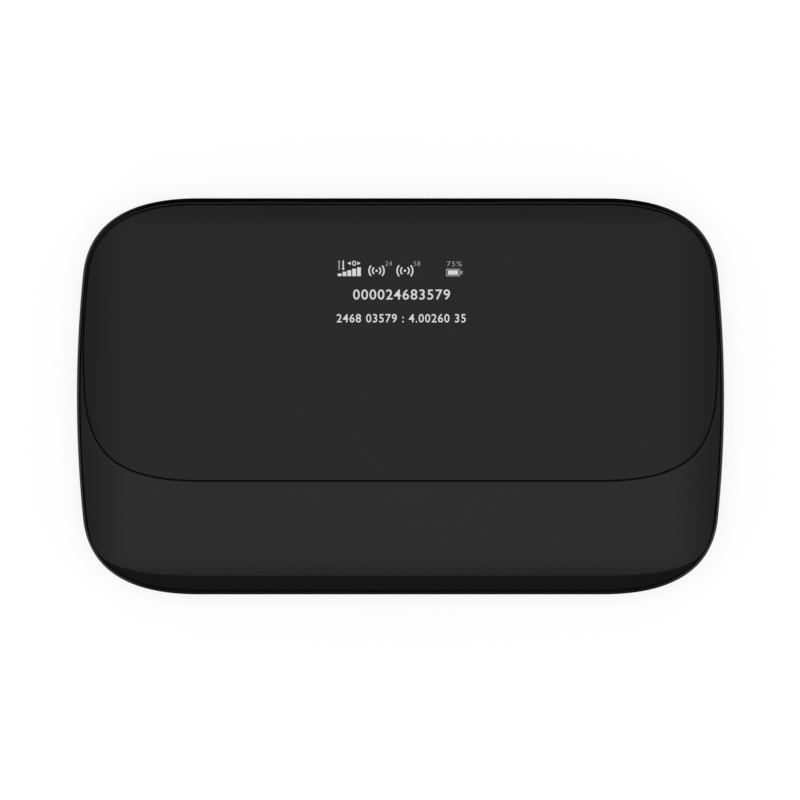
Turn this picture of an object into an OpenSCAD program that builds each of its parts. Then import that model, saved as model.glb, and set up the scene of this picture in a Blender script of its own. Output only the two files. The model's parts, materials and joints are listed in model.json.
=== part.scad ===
// Mobile hotspot: pocket wireless router with a domed front, a small display and a removable back cover.
// Frame: lies on its back, +Z out of the front face, +X to the right, +Y to the top edge. Millimetres.

/* [Body] */
// Overall width between the two short sides
body_w = 107; // [104:0.5:114]
// Overall depth from bottom edge to top edge
body_d = 65.5; // [64:0.5:70]
// Overall thickness
body_t = 16; // [15.6:0.1:19]
// How far each short side bows outward
side_bow = 1; // [0.4:0.1:1.6]
// Length of a corner curve along the long edge
corner_run_x = 20.1; // [18:0.1:22]
// Length of a corner curve along the short edge
corner_run_y = 12.7; // [11.5:0.1:14]
// How long the corner curve keeps to the long edge
corner_pull_x = 11.4; // [10:0.1:13]
// How long the corner curve keeps to the short edge
corner_pull_y = 8.8; // [7.5:0.1:10]

/* [Front face] */
// How far the face falls toward each short side
side_fall = 1.8; // [1:0.1:3]
// Width of the falling strip beside each short side
side_fall_run = 10; // [9:0.5:17]
// How far the face falls toward the top edge
top_fall = 1.3; // [0.6:0.1:1.6]
// Width of the falling strip along the top edge
top_fall_run = 7; // [5:0.5:7]
// How far the face falls toward the bottom edge
chin_fall = 1.6; // [0.6:0.1:2]
// Width of the falling strip along the bottom edge
chin_fall_run = 8; // [6:0.5:9]
// How late the fall starts, as a power
fall_power = 2.6; // [2:0.1:3.5]

/* [Front housing] */
// Thickness of the housing side wall
housing_wall = 1.5; // [1.2:0.1:1.8]
// Inward lean of the housing wall from its lower edge to the face
housing_draft = 0.05; // [0:0.05:0.2]
// Width of the narrow land that frames the front panel
land_w = 0.25; // [0.25:0.05:0.8]
// Thickness of the deck under the front panel
deck_t = 1; // [0.8:0.1:1.3]
// Distance from the bottom edge to the crease above the slanted bottom wall
crease_setback = 3.05; // [1.6:0.05:3.6]
// Length of a crease corner along the long edge
crease_run_x = 21.4; // [18:0.1:22]
// Length of a crease corner along the short edge
crease_run_y = 11.9; // [10.5:0.1:13]
// How long the crease corner keeps to the long edge
crease_pull_x = 19.2; // [15:0.1:20]
// How long the crease corner keeps to the short edge
crease_pull_y = 8.1; // [7:0.1:9]
// Bow of the crease line as a share of the side bow
crease_bow = 0.93; // [0.9:0.01:1]

/* [Front panel] */
// Thickness of the smoked front panel
panel_t = 1.2; // [1:0.1:1.5]
// Open seam around the front panel
panel_seam = 0.25; // [0.15:0.05:0.35]
// Height of the bare chin between the panel and the bottom edge
chin_d = 17.7; // [15:0.1:20]
// Length of a lower panel corner along its lower edge
panel_run_x = 20.7; // [17:0.1:22]
// Length of a lower panel corner along its side
panel_run_y = 16.3; // [13:0.1:17]
// How long the lower panel corner keeps to the lower edge
panel_pull_x = 15.1; // [11:0.1:16]
// How long the lower panel corner keeps to the side
panel_pull_y = 11.2; // [9:0.1:12]
// How far each short side of the panel bows outward below its middle
panel_bow = 0.2; // [0:0.05:0.5]
// How much closer the panel comes to the short sides than to the long ones
panel_reach = 0.15; // [0:0.05:0.2]
// Small bevel on the upper panel edge
panel_bevel = 0.1; // [0.05:0.05:0.2]
// Thickness of the bonding tape under the panel
tape_t = 0.1; // [0.05:0.05:0.2]
// Room left above and below the tape
tape_gap = 0.03; // [0.02:0.01:0.05]

/* [Back cover] */
// Wall thickness of the back cover
cover_wall = 1.3; // [1:0.1:1.6]
// Width of the rounded edge under the body
bowl_run = 7.5; // [6:0.5:8]
// Thickness of the lip that rings the front housing
lip_t = 0.4; // [0.3:0.05:0.6]
// Height of that lip
lip_h = 1.2; // [1:0.1:1.5]
// Width of the shadow groove between lip and front housing
groove_w = 0.25; // [0.2:0.05:0.5]
// Depth of the housing edge below the lip
groove_depth = 0.4; // [0.3:0.05:0.6]
// Length of a snap tab
tab_l = 8; // [5:0.5:10]
// Height of a snap tab
tab_h = 1; // [0.8:0.1:1.3]
// Distance of the long-side snap tabs from the middle
tab_x = 29; // [27.5:0.5:31]
// Clearance around a snap tab
tab_gap = 0.3; // [0.2:0.05:0.4]
// How deep a snap tab is rooted in the cover wall
tab_root = 0.1; // [0.05:0.05:0.2]
// How far a snap tab reaches past the outer face of the skirt
tab_reach = 0.6; // [0.5:0.05:0.8]
// Distance from the bay floor down to the tab slots
tab_drop = 0.25; // [0.2:0.05:0.4]

/* [Rear frame] */
// Thickness of the bay floor
plate_t = 0.8; // [0.7:0.1:1.2]
// Thickness of the battery bay walls
bay_wall = 0.8; // [0.6:0.1:1.1]
// Thickness of the outer skirt
skirt_t = 1; // [0.8:0.1:1.2]
// How far the skirt reaches below the bay floor
skirt_drop = 1.6; // [1.2:0.1:2]
// Clearance between skirt and back cover
skirt_gap = 0.5; // [0.3:0.05:0.7]
// Clearance between the frame flange and the cover
flange_gap = 0.2; // [0.15:0.05:0.3]
// Distance of the frame flange from the outer edge of the housing
flange_in = 0.2; // [0.15:0.05:0.3]
// Height of the lower edge of the bay walls above the battery's underside
bay_rise = 1; // [0.8:0.1:1.4]

/* [Main board] */
// Thickness of the circuit board
board_t = 0.8; // [0.6:0.1:1]
// Height of the board above the bay floor
board_lift = 0.5; // [0.4:0.1:0.8]
// Clearance between board edge and skirt
board_gap = 0.4; // [0.3:0.1:0.6]
// Height of the cover wall above the port
port_roof = 0.8; // [0.6:0.1:1.2]
// Height of the shield cans
can_h = 1.9; // [1.5:0.1:2.2]
// Sheet thickness of the shield cans
can_t = 0.2; // [0.15:0.05:0.3]
// Width of the modem shield can
modem_can_w = 26; // [24:0.5:28]
// Depth of the modem shield can
modem_can_d = 24; // [22:0.5:26]
// Width of the radio shield can
radio_can_w = 22; // [20:0.5:24]
// Depth of the radio shield can
radio_can_d = 20; // [18:0.5:22]
// Distance of the modem can left of the middle
modem_can_x = 22; // [20:0.5:24]
// Distance of the radio can right of the middle
radio_can_x = 22; // [20:0.5:24]
// Distance of both cans below the middle
can_drop = 5; // [3:0.5:6]
// Diameter of a vent hole in the cans
vent_d = 1.1; // [0.8:0.1:1.4]
// Spacing of the vent holes
vent_pitch = 3.6; // [3:0.1:4]
// Side of the square modem chip
modem_chip_w = 12; // [10:0.5:13]
// Width of the memory chip
memory_chip_w = 8; // [7:0.5:9]
// Depth of the memory chip
memory_chip_d = 9; // [8:0.5:10]
// Side of the square radio chip
radio_chip_w = 7; // [6:0.5:8]
// Width of an amplifier chip
amp_w = 4; // [3:0.5:4.5]
// Depth of an amplifier chip
amp_d = 5; // [4:0.5:6]
// Side of the square power chip
power_chip_w = 6; // [5:0.5:7]
// Thickness of the chips
chip_t = 0.9; // [0.7:0.1:1.1]
// Side of a square coil
coil_w = 2.6; // [2:0.1:3]
// Height of a coil
coil_h = 1.2; // [1:0.1:1.5]
// Space between the coils, and between can and power chip
part_space = 1; // [0.8:0.1:2]

/* [Battery] */
// Width of the battery pack
battery_w = 66; // [58:0.5:74]
// Depth of the battery pack
battery_d = 46; // [42:0.5:50]
// Thickness of the battery pack
battery_t = 4.6; // [4.2:0.1:5.4]
// Corner radius of the battery pack
battery_r = 2; // [1:0.1:3]
// Clearance around the battery pack
battery_gap = 0.3; // [0.2:0.05:0.4]
// Distance from the right side to the battery
battery_margin = 15.5; // [15:0.1:16.5]
// Offset of the battery above the middle
battery_y = 1.5; // [1:0.1:1.6]
// Width of the plastic end cap with the terminals
battery_cap_w = 3; // [2:0.1:4]
// Width of one battery terminal
terminal_w = 1.6; // [1.2:0.1:2]
// Spacing of the battery terminals
terminal_pitch = 2.8; // [2.5:0.1:3]
// Thickness of a battery terminal
terminal_t = 0.15; // [0.1:0.05:0.2]
// Height of a battery terminal
terminal_h = 2.8; // [2:0.1:3]
// Height of the terminals above the battery's underside
terminal_rise = 1.2; // [1:0.1:1.4]
// Depth of the wells that the terminals lie in
terminal_well = 0.25; // [0.25:0.05:0.4]
// Width of the battery connector
contact_w = 3; // [2.6:0.1:3.2]
// Border of the battery connector beside the outer terminals
contact_border = 0.9; // [0.6:0.1:1.2]
// Clearance beside the battery connector
contact_gap = 0.3; // [0.25:0.05:0.35]
// Room before and behind the battery connector
contact_room = 0.7; // [0.6:0.05:0.8]
// Width of a battery spring
spring_w = 0.8; // [0.6:0.1:1]
// Height of a battery spring
spring_h = 2; // [1.6:0.1:2.2]
// How far a battery spring reaches toward the battery
spring_reach = 0.5; // [0.4:0.05:0.55]
// Height of a spring's middle above the connector's underside
spring_rise = 1.6; // [1.4:0.1:1.8]

/* [Display] */
// Width of the display glass
display_w = 26.7; // [24:0.1:30]
// Depth of the display glass
display_d = 19.3; // [17:0.1:20]
// Thickness of the display glass
display_t = 1.45; // [1.2:0.05:1.6]
// Distance from the top edge to the middle of the lit area
display_y = 15.65; // [15.5:0.05:18.75]
// Width of the lit area
lit_w = 21.8; // [20:0.1:23]
// Depth of the lit area
lit_d = 10.9; // [9:0.1:12]
// Border of glass above the lit area
lit_margin = 2.1; // [1.5:0.1:2.5]
// Corner radius of the display glass
glass_r = 0.3; // [0.2:0.1:0.5]
// Depth of the recess that holds the lit area
lit_sink = 0.1; // [0.08:0.01:0.15]
// Depth of the lit area below the face of the glass
lit_cover = 0.02; // [0.01:0.01:0.04]
// Thickness of the foam gasket
gasket_t = 0.2; // [0.1:0.05:0.3]
// Border of the gasket window around the lit area
gasket_border = 0.5; // [0.4:0.1:0.8]
// Clearance around the display glass
display_gap = 0.25; // [0.2:0.05:0.4]
// Floor thickness of the display tray
tray_floor = 0.6; // [0.5:0.1:0.8]
// Rim width of the display tray
tray_rim = 0.75; // [0.6:0.05:0.8]
// How far the tray reaches past the glass on each side
tray_ear = 2; // [1.5:0.1:2.5]
// Width of the display flex
flex_w = 8; // [6:0.5:10]
// Thickness of the display flex
flex_t = 0.15; // [0.1:0.05:0.2]
// Clearance beside the flex where it leaves the tray
flex_gap = 0.3; // [0.2:0.1:0.5]
// Distance from the tray to the drop of the flex
flex_drop = 1.2; // [1:0.1:1.4]
// Size of the bends in the flex
flex_bend = 0.3; // [0.25:0.05:0.4]
// Distance from the drop of the flex to its socket
socket_space = 1.2; // [1:0.1:1.4]
// Height of the flex socket
socket_h = 1; // [0.8:0.1:1.2]
// Depth of the flex socket
socket_d = 3.2; // [2.8:0.1:3.6]
// How far the flex socket reaches past the flex on each side
socket_ear = 1.5; // [1:0.1:2]

/* [Buttons] */
// Width of a button cap
button_w = 12; // [9:0.5:14]
// Height of a button cap
button_h = 2.2; // [1.8:0.1:2.4]
// Distance of the buttons from the middle
button_x = 22; // [19:0.5:25]
// How far a cap stands proud of the wall
button_proud = 0.15; // [0.05:0.05:0.3]
// Height of a cap above the lower edge of the housing
button_rise = 0.9; // [0.8:0.05:1]
// Clearance around a cap
button_gap = 0.15; // [0.1:0.05:0.25]
// Thickness of the stop plate behind a cap
stop_t = 0.7; // [0.5:0.05:0.8]
// How far the stop plate reaches past each end of a cap
stop_ear = 0.9; // [0.7:0.1:1.2]
// Clearance between the stop plate and the wall
stop_gap = 0.15; // [0.1:0.05:0.25]
// Height of the stop plate above the lower edge of the housing
stop_rise = 0.2; // [0.15:0.05:0.3]
// How far the stop plate ends below the top of a cap
stop_step = 0.3; // [0.2:0.05:0.4]
// Width of a push switch
switch_w = 6; // [5:0.5:7]
// Depth of a push switch
switch_d = 3; // [2.6:0.1:3.6]
// Height of a push switch
switch_h = 2.3; // [2.2:0.1:2.6]
// Distance of the push switches from the board edge
switch_in = 0.25; // [0.2:0.05:0.4]
// Depth of the pocket that a switch plunger slides in
switch_pocket = 1.1; // [1:0.05:1.3]
// Width of a switch plunger
plunger_w = 1.6; // [1.2:0.1:2.4]
// Height of a switch plunger
plunger_h = 0.8; // [0.6:0.1:0.9]
// Height of a plunger's middle above the lower edge of the housing
plunger_rise = 0.75; // [0.7:0.05:0.8]
// Clearance around a plunger
plunger_gap = 0.1; // [0.08:0.01:0.12]
// Room behind a plunger at rest
plunger_room = 0.5; // [0.4:0.05:0.6]
// Side of the square reset switch
reset_w = 3; // [2.6:0.1:3.4]
// Diameter of the reset plunger
reset_pin = 1.3; // [1:0.1:1.6]
// Height of the reset switch
reset_h = 1.4; // [1.2:0.1:1.6]
// How far the reset plunger stands out of its switch
reset_proud = 0.5; // [0.4:0.05:0.6]
// How far the reset plunger reaches into its switch
reset_sunk = 0.7; // [0.6:0.05:0.7]
// Depth of the pocket in the reset switch
reset_pocket = 1; // [1:0.05:1.1]
// Clearance around the reset switch in the rear frame
reset_gap = 0.3; // [0.2:0.05:0.4]
// Distance of the reset switch from the bottom edge
reset_in = 9.2; // [8.6:0.1:9.4]
// Distance of the reset switch from the nearest screw
reset_space = 6.5; // [5:0.1:7.5]

/* [Power port] */
// Outside width of the port shell
port_w = 7.5; // [7.2:0.1:8]
// Outside height of the port shell
port_h = 2.5; // [2.3:0.1:2.6]
// Length of the port shell
port_l = 5.4; // [5:0.1:5.8]
// Sheet thickness of the port shell
port_t = 0.3; // [0.25:0.05:0.35]
// Clearance between the port and its opening in the cover
port_gap = 0.4; // [0.3:0.05:0.6]
// Clearance around the port in the rear frame
port_slot = 0.3; // [0.25:0.05:0.4]
// Slant of the lower port corners as a share of the port's height
port_slant = 0.4; // [0.3:0.05:0.45]
// Width of the tongue inside the port
tongue_w = 3.8; // [3.4:0.1:4.2]
// Thickness of the tongue inside the port
tongue_t = 0.6; // [0.5:0.05:0.7]
// Height of the tongue above the middle of the port
tongue_rise = 0.05; // [0.03:0.01:0.1]
// Distance of the tongue from the mouth of the port
tongue_back = 0.4; // [0.3:0.1:0.6]
// Length of the block that holds the tongue
tongue_base = 1.2; // [1:0.1:1.4]
// How far that block reaches past the tongue on each side
tongue_ear = 0.4; // [0.3:0.1:0.6]
// Spacing of the port contacts
pin_pitch = 0.65; // [0.6:0.01:0.7]
// Width of a port contact
pin_w = 0.35; // [0.25:0.05:0.45]
// Length of a port contact
pin_l = 2.4; // [2:0.1:3]
// Thickness of a port contact
pin_t = 0.1; // [0.05:0.05:0.15]

/* [Card] */
// Width of the subscriber card
card_w = 12; // [11.5:0.1:12.3]
// Length of the subscriber card
card_l = 15; // [14.5:0.1:15.5]
// Thickness of the subscriber card
card_t = 0.76; // [0.7:0.01:0.8]
// Sliding clearance around the card
card_gap = 0.08; // [0.06:0.01:0.12]
// Travel of the card out of its holder
card_travel = 16; // [14:0.5:17]
// Room between the card and the closed end of its holder
card_room = 0.4; // [0.3:0.1:0.6]
// Depth of the card holder
holder_d = 12.5; // [11.5:0.1:13]
// Sheet thickness of the card holder
holder_t = 0.2; // [0.15:0.05:0.25]
// Height of the holder's middle above the body middle
holder_y = 9.3; // [8.5:0.1:9.8]
// Border around the window in the card holder
holder_border = 1.5; // [1.2:0.1:1.8]
// Corner radius of that window
holder_r = 1; // [0.6:0.1:1.2]
// Border of the holder on each side of the card
holder_side = 0.5; // [0.4:0.1:0.6]
// Clearance around the holder in the rear frame
window_gap = 0.5; // [0.4:0.1:0.6]
// Distance from the left side to the middle of the card holder
card_margin = 16; // [15:0.1:17]
// Width of one contact pad on the card
pad_w = 3.6; // [3:0.1:4]
// Depth of one contact pad on the card
pad_d = 2.2; // [1.8:0.1:2.4]
// Space between the contact pads
pad_space = 0.4; // [0.3:0.05:0.6]
// Thickness of a contact pad
pad_t = 0.05; // [0.03:0.01:0.07]
// Cut corner of the card
card_cut = 2.5; // [2:0.1:3]

/* [Antennas] */
// Width of an antenna carrier
carrier_w = 5; // [4:0.1:5.2]
// Length of an antenna carrier
carrier_l = 32; // [26:0.5:34]
// Height of an antenna carrier
carrier_h = 2.6; // [2:0.1:3]
// Corner radius of an antenna carrier
carrier_r = 0.8; // [0.5:0.1:1.2]
// Distance of the antenna carriers from the board edge
carrier_in = 1.2; // [1:0.1:1.4]
// Thickness of an antenna foil
foil_t = 0.15; // [0.1:0.05:0.2]
// Border of bare carrier around an antenna foil
foil_margin = 0.5; // [0.3:0.1:0.8]
// Width of a slot in an antenna foil
foil_slot = 1; // [0.8:0.1:1.4]
// Spacing of the slots in an antenna foil
foil_pitch = 5; // [4:0.1:5.5]
// Length of a slot as a share of the foil's width
foil_cut = 0.8; // [0.75:0.01:0.85]
// Sheet thickness of the antenna clips and the small antennas
clip_t = 0.3; // [0.2:0.05:0.4]
// Width of an antenna clip
clip_w = 2; // [1.5:0.1:2.5]
// Distance of the clips above the middle
clip_y = 12.5; // [9:0.5:13]
// Clearance between a clip and its carrier
clip_gap = 0.05; // [0.03:0.01:0.08]
// Length of a small antenna
strip_l = 9; // [7:0.5:10]
// Height of a small antenna above the board
strip_h = 2; // [1.6:0.1:2.4]
// Width of a leg of a small antenna
strip_leg = 0.7; // [0.5:0.1:1]
// Distance of the small antennas from the buttons
strip_x = 12; // [11.5:0.1:13]
// Distance of the small antennas from the board edge
strip_in = 4.2; // [3.8:0.1:4.6]

/* [Screws] */
// Shank diameter of the housing screws
screw_d = 1.6; // [1.4:0.1:1.8]
// Shank length of the housing screws
screw_l = 6; // [5:0.1:6.2]
// Head diameter of the housing screws
head_d = 2.8; // [2.6:0.1:3]
// Head height of the housing screws
head_h = 0.9; // [0.7:0.1:1]
// Length of the cross recess in a screw head
recess_l = 1.6; // [1.2:0.1:2]
// Width of the cross recess
recess_w = 0.3; // [0.2:0.05:0.4]
// Depth of the cross recess
recess_depth = 0.5; // [0.3:0.05:0.6]
// Distance of a screw seat below the bay floor
head_sink = 0.3; // [0.2:0.05:0.4]
// How far a seat's rim reaches past the screw head
seat_rim = 0.1; // [0.05:0.05:0.2]
// Clearance around a screw head
head_gap = 0.2; // [0.15:0.05:0.25]
// Clearance around a screw shank in frame and board
screw_gap = 0.2; // [0.15:0.05:0.25]
// Clearance around a screw shank in its boss
thread_gap = 0.02; // [0.01:0.01:0.03]
// Room past the end of a screw in its boss
screw_room = 0.4; // [0.3:0.1:0.6]
// Distance of the corner screws from the short sides
screw_in_x = 11; // [10.6:0.1:11.4]
// Distance of the corner screws from the long edges
screw_in_y = 10.7; // [10.3:0.1:11]
// Radius of the screw bosses
boss_r = 2.1; // [1.9:0.1:2.2]
// Radius of the screw seats in the rear frame
seat_r = 2.3; // [2.2:0.1:2.5]
// Distance of the port screws from the middle
port_screw_x = 16; // [12:0.5:20]
// Distance of the port screws from the bottom edge
port_screw_in = 6.4; // [6.2:0.1:6.6]

/* [Hidden] */
$fn = 48;
side_steps = 3;
corner_steps = 12;
bowl_steps = 8;
// How far a cutting shape overshoots the face that it opens
cut = 1;
half_w = body_w / 2;
half_d = body_d / 2;

// Insets of the nested outlines, from the outside in
edge_in = lip_t + groove_w;
rim_in = edge_in + housing_draft;
pocket_in = rim_in + land_w;
panel_in = pocket_in + panel_seam;

// Stack of heights, from the table up
battery_z0 = cover_wall + battery_gap;
battery_z1 = battery_z0 + battery_t;
plate_z0 = battery_z1 + battery_gap;
plate_z1 = plate_z0 + plate_t;
board_z0 = plate_z1 + board_lift;
board_z1 = board_z0 + board_t;
shoulder_z = board_z0 + port_roof;
rim_z = shoulder_z + lip_h;
edge_z = rim_z - groove_depth;
tape_room = tape_t + 2 * tape_gap;
pocket_depth = panel_t + tape_room;
deck_depth = pocket_depth + deck_t;
deck_z = body_t - deck_depth;

// Rear frame
skirt_z0 = plate_z0 - skirt_drop;
skirt_in = bowl_in(skirt_z0) + skirt_gap;
flange_z0 = shoulder_z + flange_gap;
board_in = skirt_in + skirt_t + board_gap;
bay_z0 = battery_z0 + bay_rise;
battery_x = half_w - battery_margin - battery_w / 2;
bay_half_w = battery_w / 2 + battery_gap;
bay_half_d = battery_d / 2 + battery_gap;

// Display
lit_y = half_d - display_y;
display_z1 = body_t - panel_t - gasket_t;
display_z0 = display_z1 - display_t;
glass_y = lit_y + lit_d / 2 + lit_margin - display_d / 2;
tray_z0 = display_z0 - tray_floor;
flex_drop_y = glass_y - display_d / 2 - display_gap - tray_rim - flex_drop;
socket_y = flex_drop_y - socket_space - socket_d / 2;

// Buttons
button_z = edge_z + button_h / 2 + button_rise;
stop_y1 = half_d - rim_in - housing_wall - stop_gap;
stop_y0 = stop_y1 - stop_t;
stop_z0 = edge_z + stop_rise;
plunger_z = edge_z + plunger_rise;
switch_y1 = half_d - board_in - switch_in;

// Card
holder_w = card_w + 2 * card_gap + 2 * holder_t + 2 * holder_side;
holder_h = card_t + 2 * card_gap + 2 * holder_t;
holder_z0 = board_z0 - holder_h;
card_window = holder_w / 2 + window_gap;
card_x = card_margin - half_w;
holder_y0 = holder_y - holder_d / 2;
holder_y1 = holder_y + holder_d / 2;
card_y1 = holder_y1 - holder_t - card_room;
card_y0 = card_y1 - card_l;

// Other places
port_y = -half_d + skirt_in;
port_z = board_z0 - port_h / 2;
contact_x = battery_x + bay_half_w + contact_gap;
contact_d = 3 * terminal_pitch + terminal_w + 2 * contact_border;
contact_z0 = battery_z0 + terminal_rise;
terminal_z1 = contact_z0 + terminal_h;
carrier_x = half_w - board_in - carrier_in - carrier_w / 2;
modem_x = -modem_can_x;
radio_x = radio_can_x;
can_y = -can_drop;
power_y = can_y + modem_can_d / 2 + 2 * part_space + power_chip_w / 2;
head_z = plate_z0 - head_sink;
reset_x = screw_in_x - half_w + reset_space;
reset_y = reset_in - half_d;
screw_places = [
    [half_w - screw_in_x, half_d - screw_in_y],
    [screw_in_x - half_w, half_d - screw_in_y],
    [screw_in_x - half_w, screw_in_y - half_d],
    [half_w - screw_in_x, screw_in_y - half_d],
    [port_screw_x, port_screw_in - half_d],
    [-port_screw_x, port_screw_in - half_d],
];

function unit(v) = v / norm(v);

function mix(a, b, t) = a + (b - a) * t;

function bezier(p, t) =
    p[0] * pow(1 - t, 3) + 3 * p[1] * t * pow(1 - t, 2) + 3 * p[2] * t * t * (1 - t) + p[3] * pow(t, 3);

// Inset of the cover's inner face from its widest outline at a height
function bowl_in(z) =
    bowl_run - (bowl_run - cover_wall) * sqrt(1 - pow((shoulder_z - z) / (shoulder_z - cover_wall), 2));

// Distance of a bowed side from the middle line at a height y
function side_x(y) = half_w - side_bow * pow(y / (half_d - corner_run_y), 2);

// Quarter of an outline from its side to its straight edge; o = [half width, half depth, bow, runs, pulls]
function quarter(o, from) =
    let (
        side_y = o[1] - o[4],
        start = [o[0] - o[2], side_y],
        finish = [o[0] - o[3], o[1]],
        lean = [-2 * o[2] / side_y, 1],
        p = [start, start + o[6] * lean, finish + [o[5], 0], finish]
    )
    concat(
        [for (k = [0 : side_steps - 1])
            let (y = mix(from, side_y, k / side_steps)) [o[0] - o[2] * pow(y / side_y, 2), y]],
        [for (k = [0 : corner_steps]) bezier(p, k / corner_steps)]
    );

// Closed outline from an upper and a lower quarter, counterclockwise from the right side
function outline(upper, lower, mid) =
    let (n = len(upper) - 1)
    concat(
        [for (k = [0 : n]) upper[k]],
        [for (k = [n : -1 : 0]) [-upper[k].x, upper[k].y]],
        [for (k = [1 : n]) [-lower[k].x, mid - lower[k].y]],
        [for (k = [n : -1 : 1]) [lower[k].x, mid - lower[k].y]]
    );

// The same outline moved inward by d all around
function draw_in(pts, d) =
    let (n = len(pts))
    [for (i = [0 : n - 1])
        let (
            a = unit(pts[i] - pts[(i + n - 1) % n]),
            b = unit(pts[(i + 1) % n] - pts[i]),
            t = unit(a + b)
        )
        pts[i] + d / (t * a) * [-t.y, t.x]];

function fall(depth, run, reach, half) = depth * pow(max(0, reach - half + run) / run, fall_power);

// Height of the domed front face
function face_z(p) =
    body_t - fall(side_fall, side_fall_run, abs(p.x), half_w)
    - (p.y > 0 ? fall(top_fall, top_fall_run, p.y, half_d) : fall(chin_fall, chin_fall_run, -p.y, half_d));

// An outline laid on the domed face, lowered by depth
function on_face(pts, depth) = [for (p = pts) [p.x, p.y, face_z(p) - depth]];

// An outline at a fixed height
function at_z(pts, z) = [for (p = pts) [p.x, p.y, z]];

function between(from, to, t) = [for (i = [0 : len(from) - 1]) mix(from[i], to[i], t)];

// The panel outline shrunk about its own middle
function panel_ring(s) = [for (p = panel_line) [p.x * s, panel_mid + (p.y - panel_mid) * s]];

body_spec = [half_w, half_d, side_bow, corner_run_x, corner_run_y, corner_pull_x, corner_pull_y];
crease_spec = [half_w, half_d - crease_setback + rim_in, side_bow * crease_bow,
    crease_run_x, crease_run_y, crease_pull_x, crease_pull_y];
panel_mid = chin_d / 2;
panel_spec = [side_x(panel_mid) + panel_reach, half_d - chin_d + panel_mid, panel_bow,
    panel_run_x, panel_run_y, panel_pull_x, panel_pull_y];
body_quarter = quarter(body_spec, 0);
body_line = outline(body_quarter, body_quarter, 0);
rim_line = draw_in(outline(body_quarter, quarter(crease_spec, 0), 0), rim_in);
panel_upper = [half_w + panel_reach, half_d, side_bow,
    corner_run_x, corner_run_y, corner_pull_x, corner_pull_y];
panel_base = outline(quarter(panel_upper, panel_mid), quarter(panel_spec, 0), panel_mid);
panel_line = draw_in(panel_base, panel_in);
pocket_line = draw_in(panel_base, pocket_in);
edge_line = draw_in(body_line, edge_in);
panel_scales = [0.985, 0.94, 0.86, 0.745, 0.5];

// Closed solid through a list of rings, from the lower cap to the upper cap
module skin(rings) {
    n = len(rings[0]);
    last = len(rings) - 1;
    sides = [for (r = [0 : last - 1], i = [0 : n - 1])
        let (a = r * n + i, b = r * n + (i + 1) % n)
        each [[a, a + n, b + n], [a, b + n, b]]];
    lower = [for (i = [0 : n - 1]) i];
    upper = [for (i = [n - 1 : -1 : 0]) last * n + i];
    polyhedron([for (ring = rings) each ring], concat([lower], sides, [upper]));
}

module slab(pts, z0, z1) {
    translate([0, 0, z0]) linear_extrude(z1 - z0) polygon(pts);
}

module band(d0, d1, z0, z1) {
    translate([0, 0, z0]) linear_extrude(z1 - z0) difference() {
        polygon(draw_in(body_line, d0));
        polygon(draw_in(body_line, d1));
    }
}

module block(x, y, w, d, z0, z1) {
    translate([x - w / 2, y - d / 2, z0]) cube([w, d, z1 - z0]);
}

module soft_block(x, y, w, d, r, z0, z1) {
    translate([x, y, z0]) linear_extrude(z1 - z0) union() {
        square([w - 2 * r, d], center = true);
        square([w, d - 2 * r], center = true);
        for (sx = [-1, 1], sy = [-1, 1]) translate([sx * (w / 2 - r), sy * (d / 2 - r)]) circle(r);
    }
}

// Bar with round ends along X, seen from the front edge, from y0 to y1
module pill(x, z, w, h, y0, y1) {
    translate([x, y1, z]) rotate([90, 0, 0]) linear_extrude(y1 - y0) union() {
        square([w - h, h], center = true);
        for (s = [-1, 1]) translate([s * (w - h) / 2, 0]) circle(h / 2);
    }
}

module pegs(d, z0, z1) {
    for (p = screw_places) translate([p.x, p.y, z0]) cylinder(d = d, h = z1 - z0);
}

// Snap tabs of the cover, from inside its wall into the slots of the skirt
module snap_tabs(grow, reach, drop) {
    tab_z1 = plate_z0 - tab_drop - tab_gap + grow;
    tab_z0 = plate_z0 - tab_drop - tab_gap - tab_h - drop;
    start = cover_wall - tab_root;
    d = skirt_in + reach - start;
    for (s = [-1, 1]) {
        for (x = [-tab_x, tab_x])
            block(x, s * (half_d - start - d / 2), tab_l + 2 * grow, d, tab_z0, tab_z1);
        block(s * (side_x(tab_l / 2) - start - d / 2), 0, d, tab_l + 2 * grow, tab_z0, tab_z1);
    }
}

module back_cover() {
    outer = [for (k = [0 : bowl_steps])
        let (a = 90 - 90 * k / bowl_steps)
        at_z(draw_in(body_line, bowl_run * (1 - cos(a))), shoulder_z * (1 - sin(a)))];
    inner = [for (k = [0 : bowl_steps])
        let (a = 90 * k / bowl_steps)
        at_z(draw_in(body_line, bowl_run - (bowl_run - cover_wall) * cos(a)),
            shoulder_z - (shoulder_z - cover_wall) * sin(a))];
    lip = [
        at_z(body_line, rim_z - lip_t / 3),
        at_z(draw_in(body_line, lip_t / 3), rim_z),
        at_z(draw_in(body_line, lip_t * 0.8), rim_z),
        at_z(draw_in(body_line, lip_t), rim_z - lip_t / 5),
        at_z(draw_in(body_line, lip_t), shoulder_z),
    ];
    color("#1d1d1f") difference() {
        union() {
            skin(concat(outer, lip, inner));
            snap_tabs(0, tab_reach, 0);
        }
        pill(0, port_z, port_w + 2 * port_gap, port_h + 2 * port_gap, -half_d - cut, port_y + cut);
    }
}

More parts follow.
